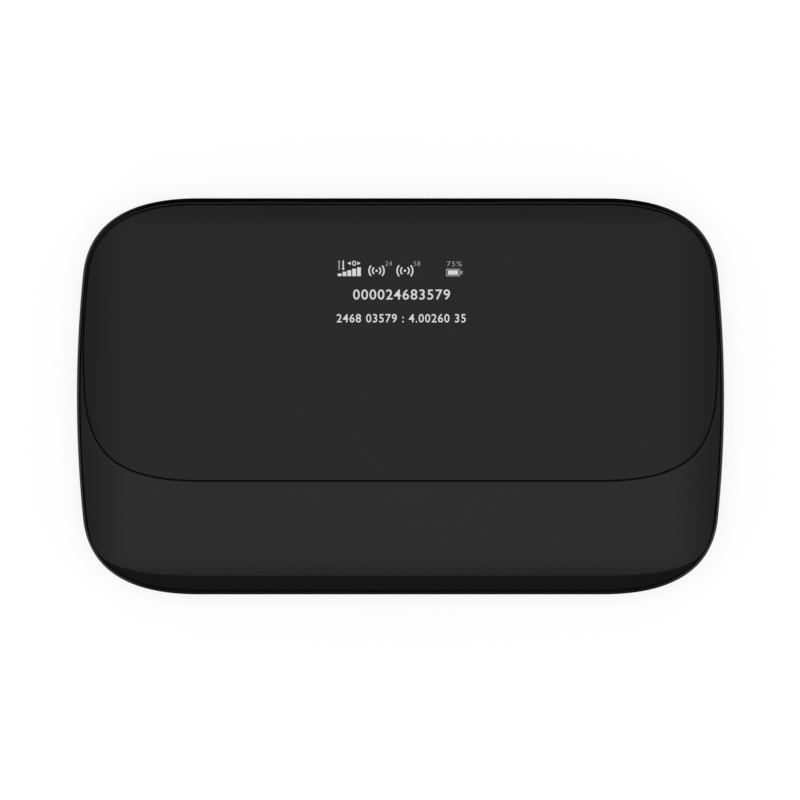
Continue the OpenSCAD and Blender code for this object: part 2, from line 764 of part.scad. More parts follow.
module front_housing() {
    chin_steps = 7;
    under = [for (k = [4 : -1 : 1]) on_face(panel_ring(panel_scales[k]), deck_depth)];
    ceiling = draw_in(rim_line, housing_wall);
    apron = [for (k = [1 : 4]) on_face(between(panel_ring(panel_scales[1]), ceiling, k / 4), deck_depth)];
    wall = [
        at_z(draw_in(edge_line, housing_wall), edge_z),
        at_z(edge_line, edge_z),
    ];
    face = [for (k = [0 : chin_steps]) on_face(between(rim_line, pocket_line, pow(k / chin_steps, 1.5)), 0)];
    pocket = concat(
        [on_face(pocket_line, pocket_depth)],
        [for (s = panel_scales) on_face(panel_ring(s), pocket_depth)]
    );
    color("#262628") difference() {
        union() {
            skin(concat(under, apron, wall, face, pocket));
            for (p = screw_places)
                translate([p.x, p.y, board_z1])
                    cylinder(r = boss_r, h = face_z(p) - pocket_depth - deck_t / 2 - board_z1);
        }
        pegs(screw_d + 2 * thread_gap, board_z1 - cut, head_z + screw_l + screw_room);
        block(0, glass_y, display_w + 2 * display_gap, display_d + 2 * display_gap, deck_z - cut, body_t);
        for (x = [-button_x, button_x])
            pill(x, button_z, button_w + 2 * button_gap, button_h + 2 * button_gap, stop_y0, half_d + cut);
    }
}

module front_panel() {
    under = [for (k = [4 : -1 : 0]) on_face(panel_ring(panel_scales[k]), panel_t)];
    edge = [
        on_face(panel_line, panel_t),
        on_face(panel_line, panel_bevel),
        on_face(draw_in(panel_line, panel_bevel), 0),
    ];
    top = [for (s = panel_scales) on_face(panel_ring(s), 0)];
    color("#202022") skin(concat(under, edge, top));
}

module panel_tape() {
    top = panel_t + tape_gap;
    n = len(panel_line);
    rings = [
        on_face(panel_ring(0.94), top + tape_t),
        on_face(panel_ring(0.985), top + tape_t),
        on_face(panel_ring(0.985), top),
        on_face(panel_ring(0.94), top),
    ];
    sides = [for (r = [0 : 3], i = [0 : n - 1])
        let (a = r * n, b = ((r + 1) % 4) * n, j = (i + 1) % n)
        each [[a + i, b + i, b + j], [a + i, b + j, a + j]]];
    color("#0f0f10") polyhedron([for (ring = rings) each ring], sides);
}

module rear_frame() {
    color("#2c2d30") difference() {
        union() {
            slab(draw_in(body_line, skirt_in), plate_z0, plate_z1);
            band(skirt_in, skirt_in + skirt_t, skirt_z0, edge_z);
            band(edge_in + flange_in, skirt_in + skirt_t, flange_z0, edge_z);
            soft_block(battery_x, battery_y, 2 * bay_half_w + 2 * bay_wall, 2 * bay_half_d + 2 * bay_wall,
                battery_r + bay_wall, bay_z0, plate_z0);
            pegs(2 * seat_r, head_z - head_h - seat_rim, plate_z1);
            pegs(2 * boss_r, plate_z1, board_z0);
        }
        soft_block(battery_x, battery_y, 2 * bay_half_w, 2 * bay_half_d, battery_r, bay_z0 - cut, plate_z0);
        pegs(screw_d + 2 * screw_gap, skirt_z0 - cut, board_z1);
        pegs(head_d + 2 * head_gap, head_z - head_h - cut, head_z);
        block(card_x, (holder_y1 + card_y0 - card_travel) / 2, 2 * card_window,
            holder_y1 - card_y0 + card_travel + 2 * window_gap, plate_z0 - cut, plate_z1 + cut);
        block(contact_x + contact_w / 2, battery_y, contact_w + 2 * contact_room,
            contact_d + 2 * contact_gap, bay_z0 - cut, plate_z1 + cut);
        block(reset_x, reset_y, reset_w + 2 * reset_gap, reset_w + 2 * reset_gap,
            plate_z0 - cut, plate_z1 + cut);
        block(0, port_y + (port_l - cut) / 2, port_w + 2 * port_slot, port_l + 2 * port_slot + cut,
            skirt_z0 - cut, board_z0 + port_slot);
        snap_tabs(tab_gap, skirt_t + cut / 5, cut);
    }
}

module main_board() {
    color("#1f4d36") difference() {
        slab(draw_in(body_line, board_in), board_z0, board_z1);
        pegs(screw_d + 2 * screw_gap, board_z0 - cut, board_z1 + cut);
    }
}

module modem_chip() {
    x = modem_x - modem_can_w / 2 + can_t + part_space + modem_chip_w / 2;
    color("#17181a") block(x, can_y, modem_chip_w, modem_chip_w, board_z1, board_z1 + chip_t);
}

module memory_chip() {
    x = modem_x + modem_can_w / 2 - can_t - part_space - memory_chip_w / 2;
    color("#1b1c1e") block(x, can_y, memory_chip_w, memory_chip_d, board_z1, board_z1 + chip_t);
}

module radio_chips() {
    left = radio_x - radio_can_w / 2 + can_t + part_space;
    right = radio_x + radio_can_w / 2 - can_t - part_space;
    color("#191a1c") {
        block(left + radio_chip_w / 2, can_y, radio_chip_w, radio_chip_w, board_z1, board_z1 + chip_t);
        for (s = [-1, 1])
            block(right - amp_w / 2, can_y + s * (amp_d + part_space) / 2, amp_w, amp_d,
                board_z1, board_z1 + chip_t);
    }
}

module power_chip() {
    color("#17181a") block(modem_x, power_y, power_chip_w, power_chip_w, board_z1, board_z1 + chip_t);
}

module shield(x, w, d) {
    difference() {
        soft_block(x, can_y, w, d, 3 * can_t, board_z1, board_z1 + can_h);
        soft_block(x, can_y, w - 2 * can_t, d - 2 * can_t, 2 * can_t,
            board_z1 - cut, board_z1 + can_h - can_t);
        for (i = [-2 : 2], j = [-1, 1])
            translate([x + i * vent_pitch, can_y + j * vent_pitch, board_z1 + can_h - 2 * can_t])
                cylinder(d = vent_d, h = 4 * can_t);
    }
}

module modem_shield() {
    color("#b9bcc0") shield(modem_x, modem_can_w, modem_can_d);
}

module radio_shield() {
    color("#b9bcc0") shield(radio_x, radio_can_w, radio_can_d);
}

module coils() {
    x = modem_x + power_chip_w / 2 + part_space + coil_w / 2;
    color("#3a3b3f") for (k = [0 : 3])
        soft_block(x + (coil_w + part_space) * k, power_y, coil_w, coil_w, coil_w / 5,
            board_z1, board_z1 + coil_h);
}

module display_glass() {
    color("#0b0c0f") difference() {
        soft_block(0, glass_y, display_w, display_d, glass_r, display_z0, display_z1);
        block(0, lit_y, lit_w, lit_d, display_z1 - lit_sink, display_z1 + cut);
    }
}

module display_lit_area() {
    color("#101216") block(0, lit_y, lit_w, lit_d, display_z1 - lit_sink, display_z1 - lit_cover);
}

module display_gasket() {
    color("#141414") difference() {
        block(0, glass_y, display_w, display_d, display_z1, display_z1 + gasket_t);
        block(0, lit_y, lit_w + 2 * gasket_border, lit_d + 2 * gasket_border,
            display_z1 - cut, display_z1 + cut);
    }
}

module display_tray() {
    color("#2a2b2e") difference() {
        block(0, glass_y, display_w + 2 * display_gap + 2 * tray_ear,
            display_d + 2 * display_gap + 2 * tray_rim, tray_z0, deck_z);
        block(0, glass_y, display_w + 2 * display_gap, display_d + 2 * display_gap,
            display_z0, deck_z + cut);
        block(0, glass_y - display_d / 2 - display_gap - tray_rim, flex_w + 2 * flex_gap, 4 * tray_rim,
            display_z0 + flex_t / 2, deck_z + cut);
    }
}

module display_flex() {
    y0 = glass_y - display_d / 2;
    top = (display_z0 + deck_z - flex_t) / 2;
    low = board_z1 + socket_h / 2;
    end = socket_y + socket_d / 2;
    profile = [
        [y0, top],
        [y0, top + flex_t],
        [flex_drop_y + flex_bend, top + flex_t],
        [flex_drop_y, top - flex_bend / 2],
        [flex_drop_y, low + flex_bend],
        [flex_drop_y - flex_bend, low + flex_t / 2],
        [end, low + flex_t / 2],
        [end, low - flex_t / 2],
        [flex_drop_y - flex_bend + flex_t / 2, low - flex_t / 2],
        [flex_drop_y + flex_t, low + flex_bend - flex_t / 2],
        [flex_drop_y + flex_t, top - flex_bend / 2 - flex_t / 2],
        [flex_drop_y + flex_bend + flex_t / 2, top],
    ];
    color("#b5742a") translate([flex_w / 2, 0, 0]) rotate([90, 0, -90]) mirror([1, 0, 0])
        linear_extrude(flex_w) polygon(profile);
}

module display_socket() {
    color("#d8d4c8") block(0, socket_y, flex_w + 2 * socket_ear, socket_d, board_z1, board_z1 + socket_h);
}

module button(x) {
    wall_y = half_d - edge_in - housing_draft / 2 + button_proud;
    pill(x, button_z, button_w, button_h, stop_y0, wall_y);
    block(x, stop_y0 + stop_t / 2, button_w + 2 * stop_ear, stop_t,
        stop_z0, button_z + button_h / 2 - stop_step);
}

module power_button() {
    color("#2a2a2c") button(button_x);
}

module menu_button() {
    color("#2a2a2c") button(-button_x);
}

module push_switch(x) {
    difference() {
        block(x, switch_y1 - switch_d / 2, switch_w, switch_d, board_z1, board_z1 + switch_h);
        block(x, switch_y1, plunger_w + 2 * plunger_gap, 2 * switch_pocket,
            plunger_z - plunger_h / 2 - plunger_gap, plunger_z + plunger_h / 2 + plunger_gap);
    }
}

module push_plunger(x) {
    y0 = switch_y1 - switch_pocket + plunger_room;
    block(x, (stop_y0 + y0) / 2, plunger_w, stop_y0 - y0,
        plunger_z - plunger_h / 2, plunger_z + plunger_h / 2);
}

module power_switch() {
    color("#c9ccd0") push_switch(button_x);
}

module menu_switch() {
    color("#c9ccd0") push_switch(-button_x);
}

module power_plunger() {
    color("#1a1a1a") push_plunger(button_x);
}

module menu_plunger() {
    color("#1a1a1a") push_plunger(-button_x);
}

module reset_switch() {
    color("#c9ccd0") difference() {
        block(reset_x, reset_y, reset_w, reset_w, board_z0 - reset_h, board_z0);
        translate([reset_x, reset_y, board_z0 - reset_h - cut])
            cylinder(d = reset_pin + 2 * plunger_gap, h = cut + reset_pocket);
    }
}

module reset_plunger() {
    color("#1a1a1a") translate([reset_x, reset_y, board_z0 - reset_h - reset_proud])
        cylinder(d = reset_pin, h = reset_proud + reset_sunk);
}

// Port outline seen from the bottom edge: wide above, narrow below
function port_line(w, h) = [
    [-w / 2, h / 2],
    [w / 2, h / 2],
    [w / 2, h * port_slant - h / 2],
    [w / 2 - h * port_slant, -h / 2],
    [h * port_slant - w / 2, -h / 2],
    [-w / 2, h * port_slant - h / 2],
];

module port_bar(w, h, y0, y1) {
    translate([0, y1, port_z]) rotate([90, 0, 0]) linear_extrude(y1 - y0) polygon(port_line(w, h));
}

module port_shell() {
    color("#c4c7cb") difference() {
        port_bar(port_w, port_h, port_y, port_y + port_l);
        port_bar(port_w - 2 * port_t, port_h - 2 * port_t, port_y - cut, port_y + port_l - port_t);
    }
}

module port_tongue() {
    color("#151515") {
        block(0, port_y + (port_l + tongue_back) / 2, tongue_w, port_l - 2 * port_t - tongue_back,
            port_z + tongue_rise, port_z + tongue_rise + tongue_t);
        block(0, port_y + port_l - port_t - tongue_base / 2, tongue_w + 2 * tongue_ear, tongue_base,
            port_z - port_h / 2 + port_t, port_z + port_h / 2 - port_t);
    }
}

module port_contacts() {
    color("#d9b45a") for (k = [-2 : 2])
        block(k * pin_pitch, port_y + port_l / 2 - port_t, pin_w, pin_l,
            port_z + tongue_rise - pin_t, port_z + tongue_rise);
}

module card_holder() {
    color("#c4c7cb") difference() {
        block(card_x, holder_y, holder_w, holder_d, holder_z0, board_z0);
        block(card_x, holder_y - holder_t, card_w + 2 * card_gap, holder_d,
            holder_z0 + holder_t, board_z0 - holder_t);
        soft_block(card_x, holder_y - 2 * holder_border, card_w - 2 * holder_border,
            holder_d - 2 * holder_border, holder_r, holder_z0 - cut, holder_z0 + holder_t + card_gap);
    }
}

module subscriber_card() {
    z0 = holder_z0 + holder_t + card_gap;
    color("#e8e8e4") translate([card_x, (card_y0 + card_y1) / 2, z0]) linear_extrude(card_t) difference() {
        square([card_w, card_l], center = true);
        translate([card_w / 2, card_l / 2]) rotate(45) square(card_cut * sqrt(2), center = true);
    }
}

module card_pads() {
    z1 = holder_z0 + holder_t + card_gap;
    y = card_y0 + card_l / 2 - pad_d / 2;
    color("#d9b45a") for (i = [-1, 1], j = [-1 : 1])
        block(card_x + i * (pad_w + pad_space) / 2, y + j * (pad_d + pad_space), pad_w, pad_d,
            z1 - pad_t, z1);
}

module battery_pack() {
    color("#3c4047") difference() {
        soft_block(battery_x, battery_y, battery_w, battery_d, battery_r, battery_z0, battery_z1);
        block(battery_x + battery_w / 2, battery_y, 2 * battery_cap_w, battery_d + cut, 0, body_t);
    }
}

module battery_cap() {
    color("#17181a") difference() {
        intersection() {
            soft_block(battery_x, battery_y, battery_w, battery_d, battery_r, battery_z0, battery_z1);
            block(battery_x + battery_w / 2, battery_y, 2 * battery_cap_w, battery_d + cut, 0, body_t);
        }
        for (k = [-1.5 : 1.5])
            block(battery_x + battery_w / 2, battery_y + k * terminal_pitch, 2 * terminal_well, terminal_w,
                contact_z0, terminal_z1);
    }
}

module battery_terminals() {
    color("#d9b45a") for (k = [-1.5 : 1.5])
        block(battery_x + battery_w / 2 - terminal_well + terminal_t / 2, battery_y + k * terminal_pitch,
            terminal_t, terminal_w, contact_z0, terminal_z1);
}

module battery_connector() {
    color("#151515") block(contact_x + contact_w / 2, battery_y, contact_w, contact_d, contact_z0, board_z0);
}

module battery_springs() {
    spring = [
        [0, -spring_h / 2],
        [0, spring_h / 2],
        [-spring_reach, spring_h / 10],
        [-spring_reach, -spring_h / 10],
    ];
    color("#d9b45a") for (k = [-1.5 : 1.5])
        translate([contact_x, battery_y + k * terminal_pitch + spring_w / 2, contact_z0 + spring_rise])
            rotate([90, 0, 0]) linear_extrude(spring_w) polygon(spring);
}

module carrier(side) {
    soft_block(side * carrier_x, 0, carrier_w, carrier_l, carrier_r, board_z1, board_z1 + carrier_h);
}

module left_carrier() {
    color("#242527") carrier(-1);
}

module right_carrier() {
    color("#242527") carrier(1);
}

module antenna(side) {
    z = board_z1 + carrier_h;
    x = side * carrier_x;
    w = carrier_w - 2 * foil_margin;
    difference() {
        block(x, 0, w, carrier_l - 2 * foil_margin, z, z + foil_t);
        for (k = [-2 : 2])
            block(x + (k % 2 == 0 ? 1 : -1) * (1 - foil_cut) * w, k * foil_pitch, foil_cut * w, foil_slot,
                z - cut, z + cut);
    }
}

module left_antenna() {
    color("#c98a4b") antenna(-1);
}

module right_antenna() {
    color("#c98a4b") antenna(1);
}

module antenna_clips() {
    foot = 4 * clip_t;
    color("#d9b45a") for (s = [-1, 1])
        translate([s * (carrier_x - carrier_w / 2), clip_y - clip_w / 2, board_z1]) {
            translate([s > 0 ? -clip_t - clip_gap : clip_gap, 0, 0])
                cube([clip_t, clip_w, carrier_h + foil_t]);
            translate([s > 0 ? -foot - clip_gap : clip_gap, 0, 0]) cube([foot, clip_w, 0.7 * clip_t]);
        }
}

module wifi_antennas() {
    color("#b9bcc0") for (s = [-1, 1])
        translate([s * (button_x + strip_x) - strip_l / 2, half_d - board_in - strip_in, board_z1]) {
            translate([0, -clip_t / 2, strip_h / 2]) cube([strip_l, clip_t, strip_h / 2]);
            for (x = [0, 3 * strip_leg])
                translate([x, -clip_t / 2, 0]) cube([strip_leg, clip_t, strip_h / 2]);
        }
}

module housing_screws() {
    color("#8d9095") for (p = screw_places) translate([p.x, p.y, head_z]) difference() {
        union() {
            cylinder(d = screw_d, h = screw_l);
            translate([0, 0, -head_h]) cylinder(d = head_d, h = head_h);
        }
        for (a = [0, 90])
            rotate(a) translate([-recess_l / 2, -recess_w / 2, -head_h - cut])
                cube([recess_l, recess_w, cut + recess_depth]);
    }
}

back_cover();
front_housing();
front_panel();
panel_tape();
rear_frame();
main_board();
modem_chip();
memory_chip();
radio_chips();
power_chip();
modem_shield();
radio_shield();
coils();
display_glass();
display_lit_area();
display_gasket();
display_tray();
display_flex();
display_socket();
power_button();
menu_button();
power_switch();
menu_switch();
power_plunger();
menu_plunger();
reset_switch();
reset_plunger();
port_shell();
port_tongue();
port_contacts();
card_holder();
subscriber_card();
card_pads();
battery_pack();
battery_cap();
battery_terminals();
battery_connector();
battery_springs();
left_carrier();
right_carrier();
left_antenna();
right_antenna();
antenna_clips();
wifi_antennas();
housing_screws();
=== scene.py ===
"""Looks of a mobile hotspot: a pocket wireless router that lies on its back, display up.

Frame: +Z out of the front face, +X to the right, +Y to the top edge. Shapes are worked out in millimetres
and written to the meshes in metres.
"""

import json
import math

import bpy
import numpy as np
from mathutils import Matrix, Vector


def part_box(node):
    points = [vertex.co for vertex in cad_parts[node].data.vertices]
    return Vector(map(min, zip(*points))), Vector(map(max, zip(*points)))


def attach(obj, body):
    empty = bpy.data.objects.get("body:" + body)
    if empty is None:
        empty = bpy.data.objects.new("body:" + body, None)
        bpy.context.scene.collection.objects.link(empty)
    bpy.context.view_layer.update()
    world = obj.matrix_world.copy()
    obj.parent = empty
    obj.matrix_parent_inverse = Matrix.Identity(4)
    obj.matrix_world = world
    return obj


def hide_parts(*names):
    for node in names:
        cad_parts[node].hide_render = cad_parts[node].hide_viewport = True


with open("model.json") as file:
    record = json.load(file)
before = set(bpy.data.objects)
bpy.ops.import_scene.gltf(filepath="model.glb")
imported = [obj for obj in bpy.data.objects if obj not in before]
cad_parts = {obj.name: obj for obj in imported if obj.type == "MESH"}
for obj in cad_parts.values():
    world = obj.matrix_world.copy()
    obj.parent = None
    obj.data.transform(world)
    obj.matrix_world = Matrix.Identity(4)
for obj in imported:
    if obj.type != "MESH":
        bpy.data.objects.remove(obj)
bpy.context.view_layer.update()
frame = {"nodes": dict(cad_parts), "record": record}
MM = 0.001


def low(node):
    """Lowest corner of a node, in millimetres."""
    return np.array(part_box(node)[0]) / MM


def high(node):
    """Highest corner of a node, in millimetres."""
    return np.array(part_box(node)[1]) / MM


# Main sizes, read from the frame
HALF_W, HALF_D, RIM_Z = high("back_cover")
BODY_T = high("front_panel")[2]
EDGE_Z = high("rear_frame")[2]
BOARD_Z0 = low("main_board")[2]
BOARD_Z1 = high("main_board")[2]

# Body outline: bow of the short sides, then run and pull of the corner curves along X and Y
SIDE_BOW = 1.0
BODY_RUN = (20.1, 12.7)
BODY_PULL = (11.4, 8.8)
CREASE_SETBACK = 3.05
CREASE_RUN = (21.4, 11.9)
CREASE_PULL = (19.2, 8.1)
CREASE_BOW = 0.93
CHIN_D = 17.7
PANEL_RUN = (20.7, 16.3)
PANEL_PULL = (15.1, 11.2)
PANEL_BOW = 0.2
PANEL_REACH = 0.15

# Fall of the front face: depth and width of the falling strip
SIDE_FALL = (1.8, 10.0)
TOP_FALL = (1.3, 7.0)
CHIN_FALL = (1.6, 8.0)
FALL_POWER = 2.6

# Walls, lips and seams
LIP_T = 0.4
EDGE_IN = 0.65
RIM_IN = 0.7
POCKET_IN = 0.95
PANEL_IN = 1.2
HOUSING_WALL = 1.5
PANEL_T = 1.2
POCKET_DEPTH = 1.36
DECK_DEPTH = 2.36
COVER_WALL = 1.3
BOWL_RUN = 7.5
FRAME_PLATE_T = 1.3
PLATE_Z0 = BOARD_Z0 - FRAME_PLATE_T
SHOULDER_RISE = 0.8
SHOULDER_Z = BOARD_Z0 + SHOULDER_RISE

# Rounding of the moulded edges; the cover's lip has one outside and one inside
POCKET_ROUND = 0.05
RIM_ROUND = 0.16
EDGE_ROUND = 0.12
PANEL_ROUND = 0.12
LIP_ROUND = (0.16, 0.08)

# Light of the display, drawn as a thin layer at the surface of the smoked panel
GLOW_T = 0.02

# Fineness of the curves
SIDE_STEPS = 9
CORNER_STEPS = 40
EDGE_STEPS = 18
BOWL_STEPS = 26
CHIN_STEPS = 18
ROUND_STEPS = 4

# Least angle of a crease that stays sharp, in degrees
CREASE_ANGLE = 32


# Outlines

def unit(v):
    """Vectors of length 1 in the same directions."""
    return v / np.linalg.norm(v, axis=-1, keepdims=True)


def quarter(half_w, half_d, bow, run, pull, start):
    """Quarter of an outline, from its bowed side round the corner to its straight edge."""
    side_y = half_d - run[1]
    y = np.linspace(start, side_y, SIDE_STEPS, endpoint=False)
    side = np.stack([half_w - bow * (y / side_y) ** 2, y], 1)
    a = np.array([half_w - bow, side_y])
    d = np.array([half_w - run[0], half_d])
    b = a + pull[1] * np.array([-2 * bow / side_y, 1])
    c = d + np.array([pull[0], 0])
    t = np.linspace(0, 1, CORNER_STEPS + 1)[:, None]
    curve = a * (1 - t) ** 3 + 3 * b * t * (1 - t) ** 2 + 3 * c * t * t * (1 - t) + d * t ** 3
    return np.concatenate([side, curve])


def outline(upper, lower, mid):
    """Closed outline from an upper and a lower quarter, counterclockwise from the right side."""
    flip = np.array([-1, 1])
    lower = np.array([0, mid]) + lower * np.array([1, -1])
    t = np.linspace(0, 1, EDGE_STEPS + 1)[1:-1, None]
    top = upper[-1] + (upper[-1] * flip - upper[-1]) * t
    bottom = lower[-1] * flip + (lower[-1] - lower[-1] * flip) * t
    return np.concatenate([upper, top, (upper * flip)[::-1], (lower * flip)[1:], bottom, lower[:0:-1]])


def draw_in(points, d):
    """The same outline moved inward by d all around."""
    a = unit(points - np.roll(points, 1, 0))
    b = unit(np.roll(points, -1, 0) - points)
    t = unit(a + b)
    reach = d / (t * a).sum(1, keepdims=True)
    return points + reach * np.stack([-t[:, 1], t[:, 0]], 1)


def fall(strip, reach, half):
    """How far the face has fallen at a reach from the middle, in the strip before its end at half."""
    depth, run = strip
    return depth * (np.maximum(0, reach - half + run) / run) ** FALL_POWER


def face_z(points):
    """Height of the domed front face."""
    x, y = points[:, 0], points[:, 1]
    ends = np.where(y > 0, fall(TOP_FALL, y, HALF_D), fall(CHIN_FALL, -y, HALF_D))
    return BODY_T - fall(SIDE_FALL, np.abs(x), HALF_W) - ends


def on_face(points, depth):
    """Outline laid on the front face, or a depth below it."""
    return np.column_stack([points, face_z(points) - depth])


def at_z(points, z):
    """Outline at one height."""
    return np.column_stack([points, np.full(len(points), z)])


def soften(rings, places, size):
    """Rounds the section of a loft at the given rings, starting that far before and after each."""
    made = []
    for k, ring in enumerate(rings):
        if k not in places:
            made.append(ring)
            continue
        before, after = rings[k - 1], rings[(k + 1) % len(rings)]
        a = ring + unit(before - ring) * np.minimum(size, np.linalg.norm(before - ring, axis=1) / 2)[:, None]
        b = ring + unit(after - ring) * np.minimum(size, np.linalg.norm(after - ring, axis=1) / 2)[:, None]
        for t in np.linspace(0, 1, ROUND_STEPS + 1):
            made.append(a * (1 - t) ** 2 + 2 * ring * t * (1 - t) + b * t * t)
    return made


BODY_SHAPE = (HALF_W, HALF_D, SIDE_BOW, BODY_RUN, BODY_PULL)
CREASE_SHAPE = (HALF_W, HALF_D - CREASE_SETBACK + RIM_IN, SIDE_BOW * CREASE_BOW, CREASE_RUN, CREASE_PULL)
PANEL_MID = CHIN_D / 2
PANEL_SIDE = HALF_W + PANEL_REACH - SIDE_BOW * (PANEL_MID / (HALF_D - BODY_RUN[1])) ** 2
PANEL_UPPER = (HALF_W + PANEL_REACH, HALF_D, SIDE_BOW, BODY_RUN, BODY_PULL)
PANEL_SHAPE = (PANEL_SIDE, HALF_D - CHIN_D + PANEL_MID, PANEL_BOW, PANEL_RUN, PANEL_PULL)
body_quarter = quarter(*BODY_SHAPE, 0)
body_line = outline(body_quarter, body_quarter, 0)
edge_line = draw_in(body_line, EDGE_IN)
rim_line = draw_in(outline(body_quarter, quarter(*CREASE_SHAPE, 0), 0), RIM_IN)
panel_base = outline(quarter(*PANEL_UPPER, PANEL_MID), quarter(*PANEL_SHAPE, 0), PANEL_MID)
panel_line = draw_in(panel_base, PANEL_IN)
pocket_line = draw_in(panel_base, POCKET_IN)


def panel_ring(scale):
    """The panel outline shrunk about its own middle."""
    middle = np.array([0, PANEL_MID])
    return middle + (panel_line - middle) * scale


# Meshes

def new_piece(name, points, faces, materials, picks=None):
    """Mesh piece from points in millimetres; picks gives each face its material."""
    mesh = bpy.data.meshes.new(name)
    mesh.from_pydata((np.asarray(points) * MM).tolist(), [], faces)
    piece = bpy.data.objects.new(name, mesh)
    bpy.context.scene.collection.objects.link(piece)
    for material in materials:
        mesh.materials.append(material)
    if picks is not None:
        mesh.polygons.foreach_set("material_index", picks)
    return piece


def loft(name, rings, materials, picks=None, closed=False):
    """Skin through a list of rings. Its ends are capped, or joined to each other."""
    n = len(rings[0])
    spans = len(rings) if closed else len(rings) - 1
    faces = []
    for r in range(spans):
        a, b = r * n, (r + 1) % len(rings) * n
        faces += [(a + i, a + (i + 1) % n, b + (i + 1) % n, b + i) for i in range(n)]
    bands = np.repeat(np.zeros(spans, int) if picks is None else picks, n).tolist()
    if not closed:
        faces += [tuple(range(n - 1, -1, -1)), tuple(range((len(rings) - 1) * n, len(rings) * n))]
        bands += [bands[0], bands[-1]]
    return new_piece(name, np.concatenate(rings), faces, materials, bands)


def carve(piece, cutter, operation):
    """Joins or cuts the piece with another solid, which is then removed."""
    change = piece.modifiers.new("carve", "BOOLEAN")
    change.object = cutter
    change.operation = operation
    change.solver = "EXACT"
    change.material_mode = "TRANSFER"
    made = bpy.data.meshes.new_from_object(piece.evaluated_get(bpy.context.evaluated_depsgraph_get()))
    piece.modifiers.clear()
    piece.data = made
    bpy.data.objects.remove(cutter)


def smooth(piece):
    """Smooth shading that stays crisp at the creases."""
    piece.data.polygons.foreach_set("use_smooth", [True] * len(piece.data.polygons))
    piece.data.set_sharp_from_angle(angle=math.radians(CREASE_ANGLE))
    even = piece.modifiers.new("even shading", "WEIGHTED_NORMAL")
    even.keep_sharp = True


def join(name, pieces):
    """One mesh piece from several."""
    points, faces, picks, count = [], [], [], 0
    for piece in pieces:
        mesh = piece.data
        points += [v.co / MM for v in mesh.vertices]
        faces += [tuple(count + i for i in p.vertices) for p in mesh.polygons]
        picks += [p.material_index for p in mesh.polygons]
        count += len(mesh.vertices)
    materials = list(pieces[0].data.materials)
    for piece in pieces:
        bpy.data.objects.remove(piece)
    return new_piece(name, points, faces, materials, picks)


def place(piece, body, slot, *nodes):
    """Puts a finished piece on its body, in the place of its nodes."""
    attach(piece, body)
    if nodes:
        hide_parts(*nodes)


def pill_ring(centre_x, centre_z, y, width, height, steps=24):
    """Bar with round ends along X, standing across the Y axis, for lofts that run towards +Y."""
    t = np.linspace(-math.pi / 2, math.pi / 2, steps)
    r = height / 2
    end = np.stack([(width - height) / 2 + r * np.cos(t), r * np.sin(t)], 1)
    flat = np.concatenate([end, -end])[::-1]
    return np.column_stack([flat[:, 0] + centre_x, np.full(len(flat), y), flat[:, 1] + centre_z])


def round_ring(x, y, z, r, steps=36):
    """Level circle about x, y."""
    t = np.arange(steps) / steps * 2 * math.pi
    return np.column_stack([x + r * np.cos(t), y + r * np.sin(t), np.full(steps, z)])


def box_line(x0, y0, x1, y1):
    """Outline of a rectangle."""
    return [[x0, y0], [x1, y0], [x1, y1], [x0, y1]]


def block_ring(x0, y0, x1, y1, z):
    """Level rectangle at one height."""
    return at_z(np.array(box_line(x0, y0, x1, y1)), z)


# Materials

def linear(shade):
    """Linear colour from an sRGB hex value."""
    parts = [int(shade[k:k + 2], 16) / 255 for k in (1, 3, 5)]
    return [p / 12.92 if p <= 0.04045 else ((p + 0.055) / 1.055) ** 2.4 for p in parts] + [1.0]


def add(tree, kind, settings, links=()):
    """Adds one node, sets its values and links its sockets."""
    node = tree.nodes.new(kind)
    for key, value in settings.items():
        if isinstance(key, str) and hasattr(node, key):
            setattr(node, key, value)
        else:
            node.inputs[key].default_value = value
    for key, source in dict(links).items():
        tree.links.new(source, node.inputs[key])
    return node


def finish_of(name, build):
    """New material whose nodes are made by build(tree), which returns the surface shader."""
    material = bpy.data.materials.new(name)
    material.use_nodes = True
    tree = material.node_tree
    tree.nodes.clear()
    shader = build(tree)
    add(tree, "ShaderNodeOutputMaterial", {}, {"Surface": shader.outputs[0]})
    return material


# Size of the soft patches of shade, spread of the roughness, and strength of the relief
PATCH = 9.0
GLOSS_SPREAD = 0.06
RELIEF = 0.5


def moulded(name, shade, tone, roughness, gloss, grain, depth, metallic=0.0, stretch=(1, 1, 1)):
    """Moulded, pressed or cast surface: two close shades in soft patches, and a fine grain in the gloss.

    grain is the size of the texture in millimetres and depth its height; gloss is the specular level.
    """
    def build(tree):
        place_on = add(tree, "ShaderNodeTexCoord", {}).outputs["Object"]
        spread = add(tree, "ShaderNodeMapping", {"Scale": stretch}, {"Vector": place_on}).outputs[0]
        patches = add(tree, "ShaderNodeTexNoise", {"Scale": 1 / (PATCH * MM), "Detail": 3.0},
                      {"Vector": place_on})
        colour = add(tree, "ShaderNodeMix", {"data_type": "RGBA", 6: linear(shade), 7: linear(tone)},
                     {0: patches.outputs["Fac"]})
        texture = add(tree, "ShaderNodeTexNoise", {"Scale": 1 / (grain * MM), "Detail": 2.0},
                      {"Vector": spread})
        gloss_map = add(tree, "ShaderNodeMapRange",
                        {"To Min": roughness - GLOSS_SPREAD, "To Max": roughness + GLOSS_SPREAD},
                        {"Value": texture.outputs["Fac"]})
        relief = add(tree, "ShaderNodeBump", {"Strength": RELIEF, "Distance": depth * MM},
                     {"Height": texture.outputs["Fac"]})
        return add(tree, "ShaderNodeBsdfPrincipled",
                   {"Metallic": metallic, "Specular IOR Level": gloss},
                   {"Base Color": colour.outputs[2], "Roughness": gloss_map.outputs[0],
                    "Normal": relief.outputs[0]})
    return finish_of(name, build)


